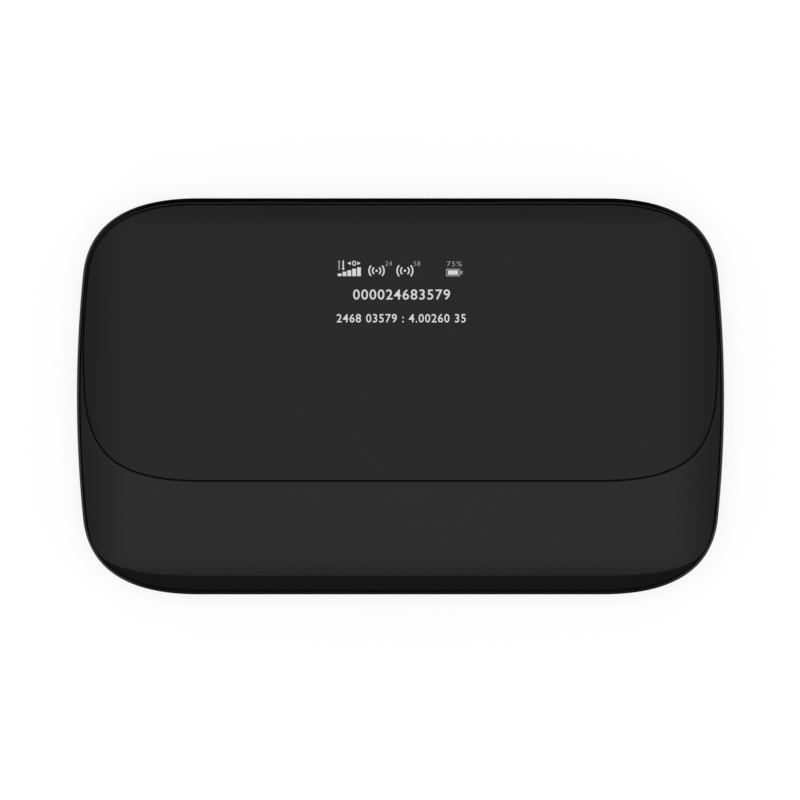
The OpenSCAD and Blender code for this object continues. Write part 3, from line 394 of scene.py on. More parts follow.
# ABS with a fine spark texture: an even satin black that hardly mirrors. The real grain of 0.03 mm is too
# fine to show, so it is drawn four times as coarse.
housing_abs = moulded("spark_textured_abs", "#191919", "#1b1b1b", 0.46, 0.07, 0.12, 0.002)

# The same ABS where the wall slants away: the mould was blasted there, so it swallows light.
wall_abs = moulded("blasted_abs_wall", "#1a1a1a", "#1c1c1c", 0.8, 0.0, 0.12, 0.002)

# Smoked polycarbonate with a satin hard coat: smoother than the housing, with a soft broad sheen.
panel_pc = moulded("hard_coated_smoked_polycarbonate", "#1a1a1a", "#1c1c1c", 0.46, 0.052, 0.12, 0.0006)

# Sides of the button caps in ABS dyed through and blasted: deeper black than the wall around them.
# The faces have the wall's finish, and signs that are raised and tipped with grey ink.
key_abs = moulded("dyed_abs_key", "#0d0d0d", "#0f0f0f", 0.8, 0.0, 0.12, 0.002)
key_ink = moulded("tipped_grey_ink", "#7d7d7d", "#858585", 0.55, 0.25, 0.2, 0.0005)

# Back cover in the housing's ABS with a deeper grip texture: a little rougher, with a broader sheen.
cover_abs = moulded("grip_textured_abs", "#1b1b1b", "#1d1d1d", 0.55, 0.16, 0.14, 0.012)

# Painted light: the top of the cover's lip is drawn paler along the short sides: span of X, and depth, in
# millimetres.
# Painted shade: the rest of the lip and its groove are drawn deep black, fading to a shade paler towards the
# lower edge: span of Y.
PAINTED_LIGHT_SPAN = (40.0, 51.0)
PAINTED_LIGHT_DEPTH = (0.3, 0.12)
PAINTED_SHADE_FADE_SPAN = (-21.0, -29.0)


def lip_painted_light_and_shade_build(tree):
    """Moulded ABS lip and groove with painted shade and painted light.

    Painted shade draws them deep black, fading to the cover's own shade towards the lower edge. Painted
    light draws the top paler grey along the short sides.
    """
    place_on = add(tree, "ShaderNodeTexCoord", {}).outputs["Object"]
    axes = add(tree, "ShaderNodeSeparateXYZ", {}, {0: place_on}).outputs
    reach = add(tree, "ShaderNodeMath", {"operation": "ABSOLUTE"}, {0: axes["X"]}).outputs[0]
    # Masks along the short sides, for the painted light, and towards the lower edge, where the painted shade
    # fades
    side, shade_fade = [
        add(tree, "ShaderNodeMapRange",
            {"interpolation_type": "SMOOTHSTEP", "From Min": span[0] * MM, "From Max": span[1] * MM},
            {"Value": along})
        for span, along in ((PAINTED_LIGHT_SPAN, reach), (PAINTED_SHADE_FADE_SPAN, axes["Y"]))
    ]
    # Painted light: paler grey on the top of the lip along the short sides
    painted_light = add(tree, "ShaderNodeMapRange",
              {"From Min": (RIM_Z - PAINTED_LIGHT_DEPTH[0]) * MM, "From Max": (RIM_Z - PAINTED_LIGHT_DEPTH[1]) * MM},
              {"Value": axes["Z"], "To Max": side.outputs[0]})
    # Painted shade: deep black, fading to the cover's own shade towards the lower edge
    painted_shade = add(tree, "ShaderNodeMix", {"data_type": "RGBA", 6: linear("#0e0e0e"), 7: linear("#1c1c1c")},
               {0: shade_fade.outputs[0]})
    colour = add(tree, "ShaderNodeMix", {"data_type": "RGBA", 7: linear("#464646")},
                 {0: painted_light.outputs[0], 6: painted_shade.outputs[2]})
    return add(tree, "ShaderNodeBsdfPrincipled", {"Roughness": 0.8, "Specular IOR Level": 0.0},
               {"Base Color": colour.outputs[2]})


# Finish of the cover's lip and groove, with painted shade and painted light in its colour
lip_painted_light_and_shade = finish_of("abs_lip_painted_light_and_shade", lip_painted_light_and_shade_build)

# Glass-filled nylon of the inner frame: dull dark grey with faint flow patches.
frame_nylon = moulded("glass_filled_nylon", "#2b2c2f", "#303135", 0.6, 0.3, 0.25, 0.004)

# Foam tape and gasket: dead black with open pores.
foam = moulded("closed_cell_foam", "#0d0d0e", "#131314", 0.9, 0.1, 0.15, 0.02)

# Moulded resin of the chips, a matte charcoal, and nylon of plungers and connectors: smoother, black or
# ivory.
chip_resin = moulded("moulded_chip_resin", "#17181a", "#1c1d1f", 0.65, 0.3, 0.1, 0.002)
black_nylon = moulded("black_moulded_nylon", "#131314", "#171718", 0.5, 0.35, 0.12, 0.002)
white_nylon = moulded("ivory_moulded_nylon", "#d8d4c8", "#cfcabc", 0.45, 0.4, 0.15, 0.002)

# Tinned, pressed and stamped sheet steel: grey metal with the grain of the roll drawn out along X or Y.
ROLLED_X = (0.1, 1, 1)
ROLLED_Y = (1, 0.1, 1)
STAMPED_X = (0.2, 1, 1)
tinned_steel = moulded("tinned_sheet_steel", "#b9bcc0", "#a9acb1", 0.34, 0.5, 0.05, 0.001, 1.0, ROLLED_X)
pressed_steel = moulded("pressed_stainless", "#c4c7cb", "#b6b9be", 0.28, 0.5, 0.05, 0.001, 1.0, ROLLED_Y)
switch_steel = moulded("stamped_switch_steel", "#c2c5c9", "#b4b7bc", 0.32, 0.5, 0.05, 0.001, 1.0, STAMPED_X)

# Zinc-plated steel of the screws: a darker grey metal with faint clouds.
zinc_steel = moulded("zinc_plated_steel", "#8d9095", "#9a9da3", 0.3, 0.5, 0.08, 0.001, 1.0)

# Gold plating on contacts, a warm bright metal, and etched copper of the antennas, redder and duller.
gold_plate = moulded("gold_plated_contact", "#d9b45a", "#cfa64a", 0.25, 0.5, 0.05, 0.0005, 1.0)
copper_foil = moulded("etched_copper_foil", "#c98a4b", "#bd7d3f", 0.35, 0.5, 0.08, 0.001, 1.0)

# Polyimide film of the display flex: clear amber over copper.
polyimide = moulded("polyimide_film", "#b5742a", "#a96a24", 0.3, 0.5, 0.3, 0.002)

# Printed plastic of the subscriber card: bright white with a faint tooth.
card_plastic = moulded("printed_card_plastic", "#e8e8e4", "#e2e2dd", 0.45, 0.4, 0.1, 0.002)

# Shrink film round the battery: smooth dark grey with faint tension ripples. A blank label of matte printed
# film goes round it: paler, flat, with a fine tooth.
battery_film = moulded("shrink_film_wrap", "#2d3036", "#33373d", 0.35, 0.45, 2.5, 0.02)
label_film = moulded("printed_label_film", "#6f747b", "#757a81", 0.6, 0.35, 0.15, 0.002)

# Polished display glass over a dark cell: near black, with sharp reflections.
display_glass = moulded("polished_display_glass", "#0b0c0f", "#0d0e12", 0.1, 0.5, 0.5, 0.0002)


# Circuit board: width of a track with its gap, share of the gap, height, relief and straight run of a track,
# which row is shifted and by what share of the run, size of the areas whose tracks run one way, and spacing
# and radius of the plated holes
TRACK_PITCH = 0.5
TRACK_GAP = 0.2
TRACK_RISE = 0.02
TRACK_RELIEF = 0.4
TRACK_RUN = 11.0
TRACK_EVERY = 3
TRACK_SHIFT = 0.37
TRACK_AREA = 7.0
HOLE_PITCH = 2.2
HOLE_R = 0.16


def circuit_board_build(tree):
    """Solder mask over copper: dark green, paler where tracks lie, with small plated holes."""
    place_on = add(tree, "ShaderNodeTexCoord", {}).outputs["Object"]
    turned = add(tree, "ShaderNodeMapping", {"Rotation": (0, 0, math.pi / 2)},
                 {"Vector": place_on}).outputs[0]
    tracks = [
        add(tree, "ShaderNodeTexBrick",
            {"Scale": 1.0, "Brick Width": TRACK_RUN * MM, "Row Height": TRACK_PITCH * MM,
             "Mortar Size": TRACK_PITCH * TRACK_GAP * MM,
             "offset": TRACK_SHIFT, "offset_frequency": TRACK_EVERY,
             "Color1": linear("#17402c"), "Color2": linear("#1a4631"), "Mortar": linear("#24583e")},
            {"Vector": way})
        for way in (place_on, turned)
    ]
    areas = add(tree, "ShaderNodeTexVoronoi", {"Scale": 1 / (TRACK_AREA * MM), "distance": "CHEBYCHEV"},
                {"Vector": place_on})
    pick = add(tree, "ShaderNodeMath", {"operation": "GREATER_THAN", 1: 0.5}, {0: areas.outputs["Color"]})
    colour = add(tree, "ShaderNodeMix", {"data_type": "RGBA"},
                 {0: pick.outputs[0], 6: tracks[0].outputs["Color"], 7: tracks[1].outputs["Color"]})
    holes = add(tree, "ShaderNodeTexVoronoi", {"Scale": 1 / (HOLE_PITCH * MM)}, {"Vector": place_on})
    plated = add(tree, "ShaderNodeMath", {"operation": "LESS_THAN", 1: HOLE_R / HOLE_PITCH},
                 {0: holes.outputs["Distance"]})
    dotted = add(tree, "ShaderNodeMix", {"data_type": "RGBA", 7: linear("#b9a878")},
                 {0: plated.outputs[0], 6: colour.outputs[2]})
    relief = add(tree, "ShaderNodeBump", {"Strength": TRACK_RELIEF, "Distance": TRACK_RISE * MM},
                 {"Height": tracks[0].outputs["Fac"]})
    return add(tree, "ShaderNodeBsdfPrincipled", {"Roughness": 0.32, "Specular IOR Level": 0.5},
               {"Base Color": dotted.outputs[2], "Normal": relief.outputs[0]})


solder_mask = finish_of("green_solder_mask", circuit_board_build)


def glowing(name, brightness):
    """Lit dots of the display, seen through the smoked panel: an even neutral white."""
    def build(tree):
        return add(tree, "ShaderNodeBsdfPrincipled",
                   {"Base Color": linear("#1e1e1e"), "Roughness": 0.42, "Specular IOR Level": 0.06,
                    "Emission Color": linear("#d9dada"), "Emission Strength": brightness})
    return finish_of(name, build)


bright_dots = glowing("lit_display_dots", 0.92)
dim_dots = glowing("half_lit_display_dots", 0.37)


# Front housing: one shell from the deck's underside round the wall to the pocket that holds the panel

# Rings of the deck: shares of the panel outline, then steps on to the wall, and how the chin's rings crowd
# towards the rim
WINDOW_GAP = 0.25
DECK_SHARE = (0.985, 0.94, 0.86)
DECK_STEPS = (0.3, 0.6, 0.85, 1)
CHIN_CROWD = 1.5

# Screw bosses: places of the four at the corners and the two at the lower edge, then the post with its hole,
# its gap to the board, how far it goes into the deck, and how far the hole stops short of its end
CORNER_SCREW_IN = (11.0, 10.7)
LOWER_SCREW = (16.0, 6.4)
CORNER_SCREW = (HALF_W - CORNER_SCREW_IN[0], HALF_D - CORNER_SCREW_IN[1])
SCREW_PLACES = [(sx * CORNER_SCREW[0], sy * CORNER_SCREW[1]) for sx in (-1, 1) for sy in (-1, 1)]
SCREW_PLACES += [(sx * LOWER_SCREW[0], LOWER_SCREW[1] - HALF_D) for sx in (-1, 1)]
SCREW_PILOT_R = 0.82
BOSS_R = 2.1
BOSS_GAP = 0.02
BOSS_Z0 = BOARD_Z1 + BOSS_GAP
BOSS_SUNK = 0.5
PILOT_SHORT = 1.0

# Button holes: size of the cap, gap around it, and sections as place from the cap's face and widening
BUTTON_W = 12.0
BUTTON_H = 2.2
BUTTON_GAP = 0.15
HOLE_SECTIONS = ((-2.4, 0), (-0.3, 0), (0.2, 0.5))


def button_middle(node):
    """Middle of a button cap on X and Z, and its outer face on Y."""
    lo, hi = low(node), high(node)
    return (lo[0] + hi[0]) / 2, hi[2] - BUTTON_H / 2, hi[1]


def window_ring(ring):
    """The display window in the deck, with one point on the ray to each point of a ring."""
    lo, hi = low("display_glass")[:2] - WINDOW_GAP, high("display_glass")[:2] + WINDOW_GAP
    middle, half = (lo + hi) / 2, (hi - lo) / 2
    ray = ring[:, :2] - middle
    return middle + ray / np.max(np.abs(ray) / half, axis=1, keepdims=True)


def make_front_housing():
    ceiling = draw_in(rim_line, HOUSING_WALL)
    window = window_ring(panel_line)
    inner = panel_ring(DECK_SHARE[1])
    under = [on_face(ring, DECK_DEPTH) for ring in (window, panel_ring(DECK_SHARE[2]), inner)]
    under += [on_face(inner + (ceiling - inner) * t, DECK_DEPTH) for t in DECK_STEPS]
    wall = [at_z(draw_in(edge_line, HOUSING_WALL), EDGE_Z), at_z(edge_line, EDGE_Z)]
    steps = np.linspace(0, 1, CHIN_STEPS + 1) ** CHIN_CROWD
    face = [on_face(rim_line + (pocket_line - rim_line) * t, 0) for t in steps]
    pocket = [on_face(pocket_line, POCKET_DEPTH)]
    pocket += [on_face(panel_ring(share), POCKET_DEPTH) for share in DECK_SHARE]
    pocket += [on_face(window, POCKET_DEPTH)]
    rings = under + wall + face + pocket
    rim_at = len(under) + len(wall)
    pocket_at = rim_at + CHIN_STEPS
    rings = soften(rings, [pocket_at], POCKET_ROUND)
    rings = soften(rings, [rim_at], RIM_ROUND)
    rings = soften(rings, [rim_at - 1], EDGE_ROUND)
    picks = np.zeros(len(rings), int)
    picks[:rim_at + 2 * ROUND_STEPS] = 1
    picks[pocket_at + 3 * ROUND_STEPS:] = 1
    piece = loft("front_housing_shell", rings, [housing_abs, wall_abs], picks, closed=True)
    bosses = []
    for x, y in SCREW_PLACES:
        top = face_z(np.array([[x, y]]))[0] - POCKET_DEPTH - BOSS_SUNK
        hole = [round_ring(x, y, z, SCREW_PILOT_R) for z in (top - PILOT_SHORT, BOSS_Z0)]
        post = [round_ring(x, y, z, BOSS_R) for z in (BOSS_Z0, top)]
        bosses.append(loft("boss", hole + post, [wall_abs]))
    carve(piece, join("bosses", bosses), "UNION")
    holes = []
    for node in ("power_button", "menu_button"):
        x, z, outer = button_middle(node)
        w, h = BUTTON_W + 2 * BUTTON_GAP, BUTTON_H + 2 * BUTTON_GAP
        rings = [pill_ring(x, z, outer + y, w + wider, h + wider) for y, wider in HOLE_SECTIONS]
        holes.append(loft("hole", rings, [wall_abs]))
    carve(piece, join("holes", holes), "DIFFERENCE")
    smooth(piece)
    place(piece, "device", "housing_plastic", "front_housing")


# Buttons: crowned caps with a raised sign, on the plate that stops them behind the wall

CAP_ROUND = 0.35
CAP_STEPS = 7
STOP_T = 0.7
STOP_STEP = 0.3
STOP_ROUND = 0.1
KEY_FINISH = [key_abs, key_ink, wall_abs]

# Signs: rise above the cap, root in it, thickness of the ink, and width of a stroke; then the ring with its
# open span in degrees and the bar in its gap, and the half length and spacing of the menu's bars
SIGN_RISE = 0.04
SIGN_ROOT = 0.05
INK_T = 0.006
STROKE = 0.16
RING_R = 0.62
RING_SPAN = (130, 410)
RING_BAR = (0.1, 0.7)
MENU_HALF = 0.55
MENU_PITCH = 0.34


def raised_sign(points, x, z, y0, y1):
    """Solid with an inked face, from a flat outline that stands across the Y axis about x, z."""
    flat = np.asarray(points, float) * [-1, 1] + [x, z]
    levels = (y0, y1 - INK_T, y1)
    rings = [np.column_stack([flat[:, 0], np.full(len(flat), y), flat[:, 1]]) for y in levels]
    return loft("raised_sign", rings, KEY_FINISH, [0, 1])


def power_sign():
    """Open ring with a bar in its gap."""
    t = np.radians(np.linspace(*RING_SPAN, 30))
    ray = np.stack([np.cos(t), np.sin(t)], 1)
    ring = np.concatenate([ray * RING_R, ray[::-1] * (RING_R - STROKE)])
    return [ring, box_line(-STROKE / 2, RING_BAR[0], STROKE / 2, RING_BAR[1])]


def menu_sign():
    """Three level bars."""
    levels = (-MENU_PITCH, 0, MENU_PITCH)
    return [box_line(-MENU_HALF, z - STROKE / 2, MENU_HALF, z + STROKE / 2) for z in levels]


def make_button(node, lines):
    """Cap, stop plate and signs of one button; its sides are dyed black and its face matches the wall."""
    x, z, outer = button_middle(node)
    lo, hi = low(node), high(node)
    face = outer - SIGN_RISE
    turn = np.linspace(0, math.pi / 2, CAP_STEPS)
    sections = [(lo[1], 0)]
    sections += [(face - CAP_ROUND * (1 - math.sin(a)), CAP_ROUND * (1 - math.cos(a))) for a in turn]
    rings = [pill_ring(x, z, y, BUTTON_W - 2 * i, BUTTON_H - 2 * i) for y, i in sections]
    picks = [0] * (CAP_STEPS - 1) + [2]
    pieces = [loft("cap", rings, KEY_FINISH, picks)]
    plate_z1 = z + BUTTON_H / 2 - STOP_STEP
    r = STOP_ROUND
    steps = ((r, lo[2]), (0, lo[2] + r), (0, plate_z1 - r), (r, plate_z1))
    rings = [block_ring(lo[0] + i, lo[1] + i, hi[0] - i, lo[1] + STOP_T - i, height) for i, height in steps]
    pieces.append(loft("plate", rings, KEY_FINISH))
    pieces += [raised_sign(line, x, z, face - SIGN_ROOT, outer) for line in lines]
    piece = join(node + "_cap", pieces)
    smooth(piece)
    place(piece, node, "housing_plastic", node)


# Front panel: a domed plate with rounded edges, lowered by the thin layer of light that it carries

# Rings of the plate, as shares of its outline
PLATE_SHARE = (0.74, 0.8, 0.86, 0.9, 0.94, 0.97, 0.99)


def make_front_panel():
    under = [on_face(panel_ring(share), PANEL_T) for share in PLATE_SHARE]
    edge = [on_face(panel_line, PANEL_T), on_face(panel_line, GLOW_T)]
    top = [on_face(panel_ring(share), GLOW_T) for share in reversed(PLATE_SHARE)]
    rings = soften(under + edge + top, [len(under) + 1], PANEL_ROUND)
    piece = loft("front_panel_plate", rings, [panel_pc])
    smooth(piece)
    place(piece, "device", "panel_plastic", "front_panel")


# Back cover: a bowl with a rolled lip, six snap tabs inside and a flared port opening

# Snap tabs: reach, width and thickness, chamfer as inset and height, drop below the frame's plate, distance
# of the root from the short and long sides, and place along the long sides
TAB_REACH = 2.06
TAB_W = 8.0
TAB_T = 1.0
TAB_CHAMFER = (0.12, 0.15)
TAB_DROP = 0.55
TAB_ROOT = (1.24, 1.2)
TAB_X = 29.0
TAB_ALONG = [(sx * TAB_X, sy * (HALF_D - TAB_ROOT[1] - TAB_REACH / 2)) for sx in (-1, 1) for sy in (-1, 1)]
TAB_PLACES = [(x, y, TAB_W, TAB_REACH) for x, y in TAB_ALONG]
TAB_PLACES += [(sx * (HALF_W - TAB_ROOT[0] - TAB_REACH / 2), 0, TAB_REACH, TAB_W) for sx in (-1, 1)]

# Port opening: room around the socket, its end behind the socket's mouth, and depths into the wall with how
# much wider the opening is there
PORT_ROOM = 0.8
PORT_END = 0.6
PORT_FLARE = ((-0.6, 0.9), (0.25, 0.5), (0.5, 0.1), (0.75, 0))


def make_back_cover():
    turn = np.linspace(math.pi / 2, 0, BOWL_STEPS + 1)
    outer = [at_z(draw_in(body_line, BOWL_RUN * (1 - math.cos(a))), SHOULDER_Z * (1 - math.sin(a)))
             for a in turn]
    inner = [at_z(draw_in(body_line, BOWL_RUN - (BOWL_RUN - COVER_WALL) * math.cos(a)),
                  SHOULDER_Z - (SHOULDER_Z - COVER_WALL) * math.sin(a)) for a in turn[::-1]]
    lip_line = draw_in(body_line, LIP_T)
    lip = [at_z(body_line, RIM_Z), at_z(lip_line, RIM_Z), at_z(lip_line, SHOULDER_Z)]
    rings = outer + lip + inner
    rings = soften(rings, [len(outer) + 1], LIP_ROUND[1])
    rings = soften(rings, [len(outer)], LIP_ROUND[0])
    picks = np.zeros(len(rings) - 1, int)
    # The lip and the top of its groove take the finish with painted shade and painted light
    picks[len(outer):len(outer) + 2 * ROUND_STEPS + 3] = 1
    piece = loft("back_cover_shell", rings, [cover_abs, lip_painted_light_and_shade], picks)
    tab_z1 = PLATE_Z0 - TAB_DROP
    steps = ((0, tab_z1 - TAB_T), (0, tab_z1 - TAB_CHAMFER[1]), (TAB_CHAMFER[0], tab_z1))
    tabs = []
    for x, y, w, d in TAB_PLACES:
        rings = [block_ring(x - w / 2 + i, y - d / 2 + i, x + w / 2 - i, y + d / 2 - i, z) for i, z in steps]
        tabs.append(loft("tab", rings, [cover_abs]))
    carve(piece, join("tabs", tabs), "UNION")
    shell_low, shell_high = low("port_shell"), high("port_shell")
    x, z = (shell_low[0] + shell_high[0]) / 2, (shell_low[2] + shell_high[2]) / 2
    w, h = shell_high[0] - shell_low[0] + PORT_ROOM, shell_high[2] - shell_low[2] + PORT_ROOM
    mouth = [(depth - HALF_D, wider) for depth, wider in PORT_FLARE] + [(shell_low[1] + PORT_END, 0)]
    rings = [pill_ring(x, z, y, w + wider, h + wider) for y, wider in mouth]
    carve(piece, loft("mouth", rings, [wall_abs]), "DIFFERENCE")
    smooth(piece)
    place(piece, "back_cover", "cover_plastic", "back_cover")


# Battery: a wrapped cell with round edges, a label that stands on the film, and pole signs on its underside

# How far the film lies below the label, round of the long edges and of the corners, and the label's margins
FILM_IN = 0.05
PACK_ROUND = 0.6
PACK_CORNER = 2.0
CORNER_RINGS = 9
LABEL_MARGIN = (4.0, 1.5)
PACK_FINISH = [battery_film, label_film, key_ink]

# Pole signs: size, stroke, half thickness of the print, and distance from the cap and from the middle
POLE_SIZE = 1.8
POLE_STROKE = 0.45
PRINT_T = 0.01
POLE_PLACE = (4.0, 4.5)


def pack_ring(x, end, drawn):
    """Section of the battery across X, narrowed near its round end and drawn in all around."""
    def narrowing(r):
        return r - math.sqrt(r * r - (r - min(end, r)) ** 2) + drawn
    lo, hi = low("battery_pack")[1:], high("battery_pack")[1:]
    half = (hi - lo) / 2 - [narrowing(PACK_CORNER), narrowing(PACK_ROUND)]
    turn = np.linspace(0, math.pi / 2, ROUND_STEPS + 1)
    corner = PACK_ROUND * np.stack([np.cos(turn), np.sin(turn)], 1) + half - PACK_ROUND
    flip = np.array([-1, 1])
    flat = np.concatenate([corner, (corner * flip)[::-1], -corner, (corner * -flip)[::-1]])
    return np.column_stack([np.full(len(flat), x), flat + (lo + hi) / 2])


def pole_lines():
    """Outlines of a plus and a minus sign."""
    r, w = POLE_SIZE / 2, POLE_STROKE / 2
    arm = np.array([[r, -w], [r, w], [w, w]])
    turn = np.array([[0, 1], [-1, 0]])
    plus = [arm @ np.linalg.matrix_power(turn, k) for k in range(4)]
    return [np.concatenate(plus), np.array(box_line(-w, -r, w, r))]


def make_battery():
    lo, hi = low("battery_pack"), high("battery_pack")
    length = hi[0] - lo[0]
    turn = np.linspace(0, math.pi / 2, CORNER_RINGS)
    label = (LABEL_MARGIN[0], length - LABEL_MARGIN[1])
    sections = [(u, FILM_IN) for u in PACK_CORNER * (1 - np.cos(turn))]
    sections += [(label[0], FILM_IN), (label[0], 0), (label[1], 0), (label[1], FILM_IN), (length, FILM_IN)]
    picks = np.zeros(len(sections) - 1, int)
    picks[CORNER_RINGS:CORNER_RINGS + 3] = 1
    pieces = [loft("wrap", [pack_ring(lo[0] + u, u, d) for u, d in sections], PACK_FINISH, picks)]
    x, y = hi[0] - POLE_PLACE[0], (lo[1] + hi[1]) / 2
    for side, line in zip((1, -1), pole_lines()):
        flat = line + [x, y + side * POLE_PLACE[1]]
        levels = [at_z(flat, lo[2] + rise) for rise in (-PRINT_T, PRINT_T)]
        pieces.append(loft("pole", levels, PACK_FINISH, [2]))
    piece = join("battery_wrap", pieces)
    smooth(piece)
    place(piece, "battery", "battery_wrap", "battery_pack")


# Display readout: generic signs and plain numbers, lying in the panel's surface

# The signs start just above the panel's own top, and end at the part's top
GLOW_FLOOR = BODY_T - 0.95 * GLOW_T
DOTS = [dim_dots, bright_dots]

# Places and sizes in millimetres from the upper left corner of the lit area, up being positive.
# Arrows: x, y, width and height, and shares of the width for head and shaft.
# Boxes: left, lower, right and upper side.
CORNER = np.array([low("display_lit_area")[0], high("display_lit_area")[1]])
UP_ARROW = (0.78, -1.7, 0.58, 1.62)
DOWN_ARROW = (1.46, -0.15, 0.54, -1.6)
ARROW_STROKE = 0.13
ARROW_HEAD = 0.6
ARROW_SHAFT = 0.4
POINTERS = (((2.15, -0.6), (2.7, -0.9), (2.7, -0.3)), ((3.8, -0.9), (4.3, -0.6), (3.8, -0.3)))
BAR_PLACE = (0.55, -2.73)
BAR_W = 0.62
BAR_PITCH = 0.8
BAR_HEIGHTS = (0.43, 0.73, 0.98, 1.22, 1.45)
CELL_SHELL = (18.42, -2.76, 20.7, -1.5)
CELL_CHARGE = (18.74, -2.48, 20.38, -1.78)
CELL_POLE = (20.76, -2.41, 21.13, -1.85)
CELL_STROKE = 0.18

# Wireless signs: place and size; then their waves as radius, half span in degrees and stroke
WIRELESS = ((6.95, -1.84, 0.94), (11.63, -1.84, 0.98))
WIRELESS_DOT = 0.2
WAVES = ((0.71, 52, 0.22), (1.32, 43, 0.23))

# Figures: text, lower left corner, width and height, and 1 for bright or 0 for dim
FIGURES = (
    ("0", 2.92, -1.04, 0.66, 0.86, 1),
    ("24", 8.39, -1.05, 1.1, 0.8, 0),
    ("58", 13.07, -1.05, 1.1, 0.8, 0),
    ("75%", 18.55, -1.11, 2.5, 0.83, 0),
    ("000024683579", 3.08, -6.61, 16.0, 1.7, 1),
    ("2468 03579 : 4.00260 35", 0.37, -10.38, 21.3, 1.42, 1),
)

# Extra weight of the bright figures, their spacing and the fineness of their curves. Their depth only parts
# the two faces, which then get their own heights.
FIGURE_WEIGHT = 0.008
FIGURE_SPACING = 1.12
FIGURE_STEPS = 4
FIGURE_DEPTH = 0.01


def sign(points, dots=1):
    """Thin raised sign from a flat outline; dots is 1 for bright and 0 for dim."""
    flat = np.asarray(points, float) + CORNER
    return loft("sign", [at_z(flat, GLOW_FLOOR), at_z(flat, BODY_T)], DOTS, [dots])


def hollow_sign(points, stroke):
    """The border of a flat outline, as wide as the stroke, in dim dots."""
    flat = np.asarray(points, float) + CORNER
    inner = draw_in(flat, stroke)
    rings = [at_z(flat, GLOW_FLOOR), at_z(flat, BODY_T), at_z(inner, BODY_T), at_z(inner, GLOW_FLOOR)]
    return loft("sign", rings, DOTS, closed=True)


def arrow_line(x, y, width, height):
    """Arrow that stands on x, y and points up, or down where the height is negative."""
    neck = height - math.copysign(ARROW_HEAD * width, height)
    half = ARROW_SHAFT / 2 * width
    right = [[half, 0], [half, neck], [width / 2, neck]]
    line = right + [[0, height]] + [[-px, py] for px, py in reversed(right)]
    return np.array(line if height > 0 else line[::-1]) + [x, y]


def arc(x, y, radius, spread, stroke, middle, steps=18):
    """Curved stroke about a point, around a middle direction in degrees."""
    t = np.radians(np.linspace(middle - spread, middle + spread, steps))
    ray = np.stack([np.cos(t), np.sin(t)], 1)
    return sign(np.concatenate([ray * (radius + stroke / 2), (ray * (radius - stroke / 2))[::-1]]) + [x, y])


def wireless_sign(x, y, size):
    """A dot between two pairs of curved waves."""
    made = [sign(round_ring(x, y, 0, WIRELESS_DOT * size, 20)[:, :2])]
    for middle in (0, 180):
        made += [arc(x, y, radius * size, spread, stroke, middle) for radius, spread, stroke in WAVES]
    return made


def figures(text, x, y, width, height, dots):
    """Plain figures stretched to a box, laid out by a text curve that is then turned into a mesh."""
    curve = bpy.data.curves.new("figures", "FONT")
    curve.body = text
    curve.offset = FIGURE_WEIGHT * dots
    curve.extrude = FIGURE_DEPTH
    curve.space_character = FIGURE_SPACING
    curve.resolution_u = FIGURE_STEPS
    source = bpy.data.objects.new("figures", curve)
    bpy.context.scene.collection.objects.link(source)
    mesh = bpy.data.meshes.new_from_object(source.evaluated_get(bpy.context.evaluated_depsgraph_get()))
    points = np.array([v.co for v in mesh.vertices])
    faces = [tuple(p.vertices) for p in mesh.polygons]
    bpy.data.objects.remove(source)
    low_corner, high_corner = points.min(0)[:2], points.max(0)[:2]
    flat = (points[:, :2] - low_corner) / (high_corner - low_corner) * [width, height] + [x, y] + CORNER
    rise = np.where(points[:, 2] > 0, BODY_T, GLOW_FLOOR)
    welded, place_of = np.unique(np.column_stack([flat, rise]).round(4), axis=0, return_inverse=True)
    faces = [tuple(place_of[list(face)].tolist()) for face in faces]
    return new_piece("figures", welded, faces, DOTS, [dots] * len(faces))


def make_readout():
    """Three rows on the lit area: signs for signal, links and charge, then two rows of figures."""
    made = [hollow_sign(arrow_line(*UP_ARROW), ARROW_STROKE), sign(arrow_line(*DOWN_ARROW))]
    made += [sign(line) for line in POINTERS]
    for k, height in enumerate(BAR_HEIGHTS):
        x, y = BAR_PLACE[0] + BAR_PITCH * k, BAR_PLACE[1]
        made.append(sign(box_line(x, y, x + BAR_W, y + height)))
    for x, y, size in WIRELESS:
        made += wireless_sign(x, y, size)
    made += [hollow_sign(box_line(*CELL_SHELL), CELL_STROKE), sign(box_line(*CELL_CHARGE))]
    made.append(sign(box_line(*CELL_POLE), 0))
    made += [figures(*row) for row in FIGURES]
    place(join("display_readout", made), "device", "display_cell")


# Other nodes of the frame: a small bevel on their edges and the finish of their slot

SLOT_FINISH = {
    "housing_plastic": housing_abs,
    "panel_plastic": panel_pc,
    "cover_plastic": cover_abs,
    "frame_plastic": frame_nylon,
    "tape": foam,
    "circuit_board": solder_mask,
    "chip_resin": chip_resin,
    "tinned_sheet": tinned_steel,
    "display_cell": display_glass,
    "foam": foam,
    "polyimide": polyimide,
    "white_resin": white_nylon,
    "switch_body": switch_steel,
    "black_resin": black_nylon,
    "steel_sheet": pressed_steel,
    "gold_contact": gold_plate,
    "card_plastic": card_plastic,
    "battery_wrap": battery_film,
    "copper_foil": copper_foil,
    "screw_steel": zinc_steel,
}

# Nodes whose place a remade piece takes, then width and least angle of the bevel, and reach of the weld
REMADE = ("back_cover", "front_housing", "front_panel", "power_button", "menu_button", "battery_pack")
EDGE_BREAK = 0.06
EDGE_ANGLE = 40
WELD_REACH = 0.001


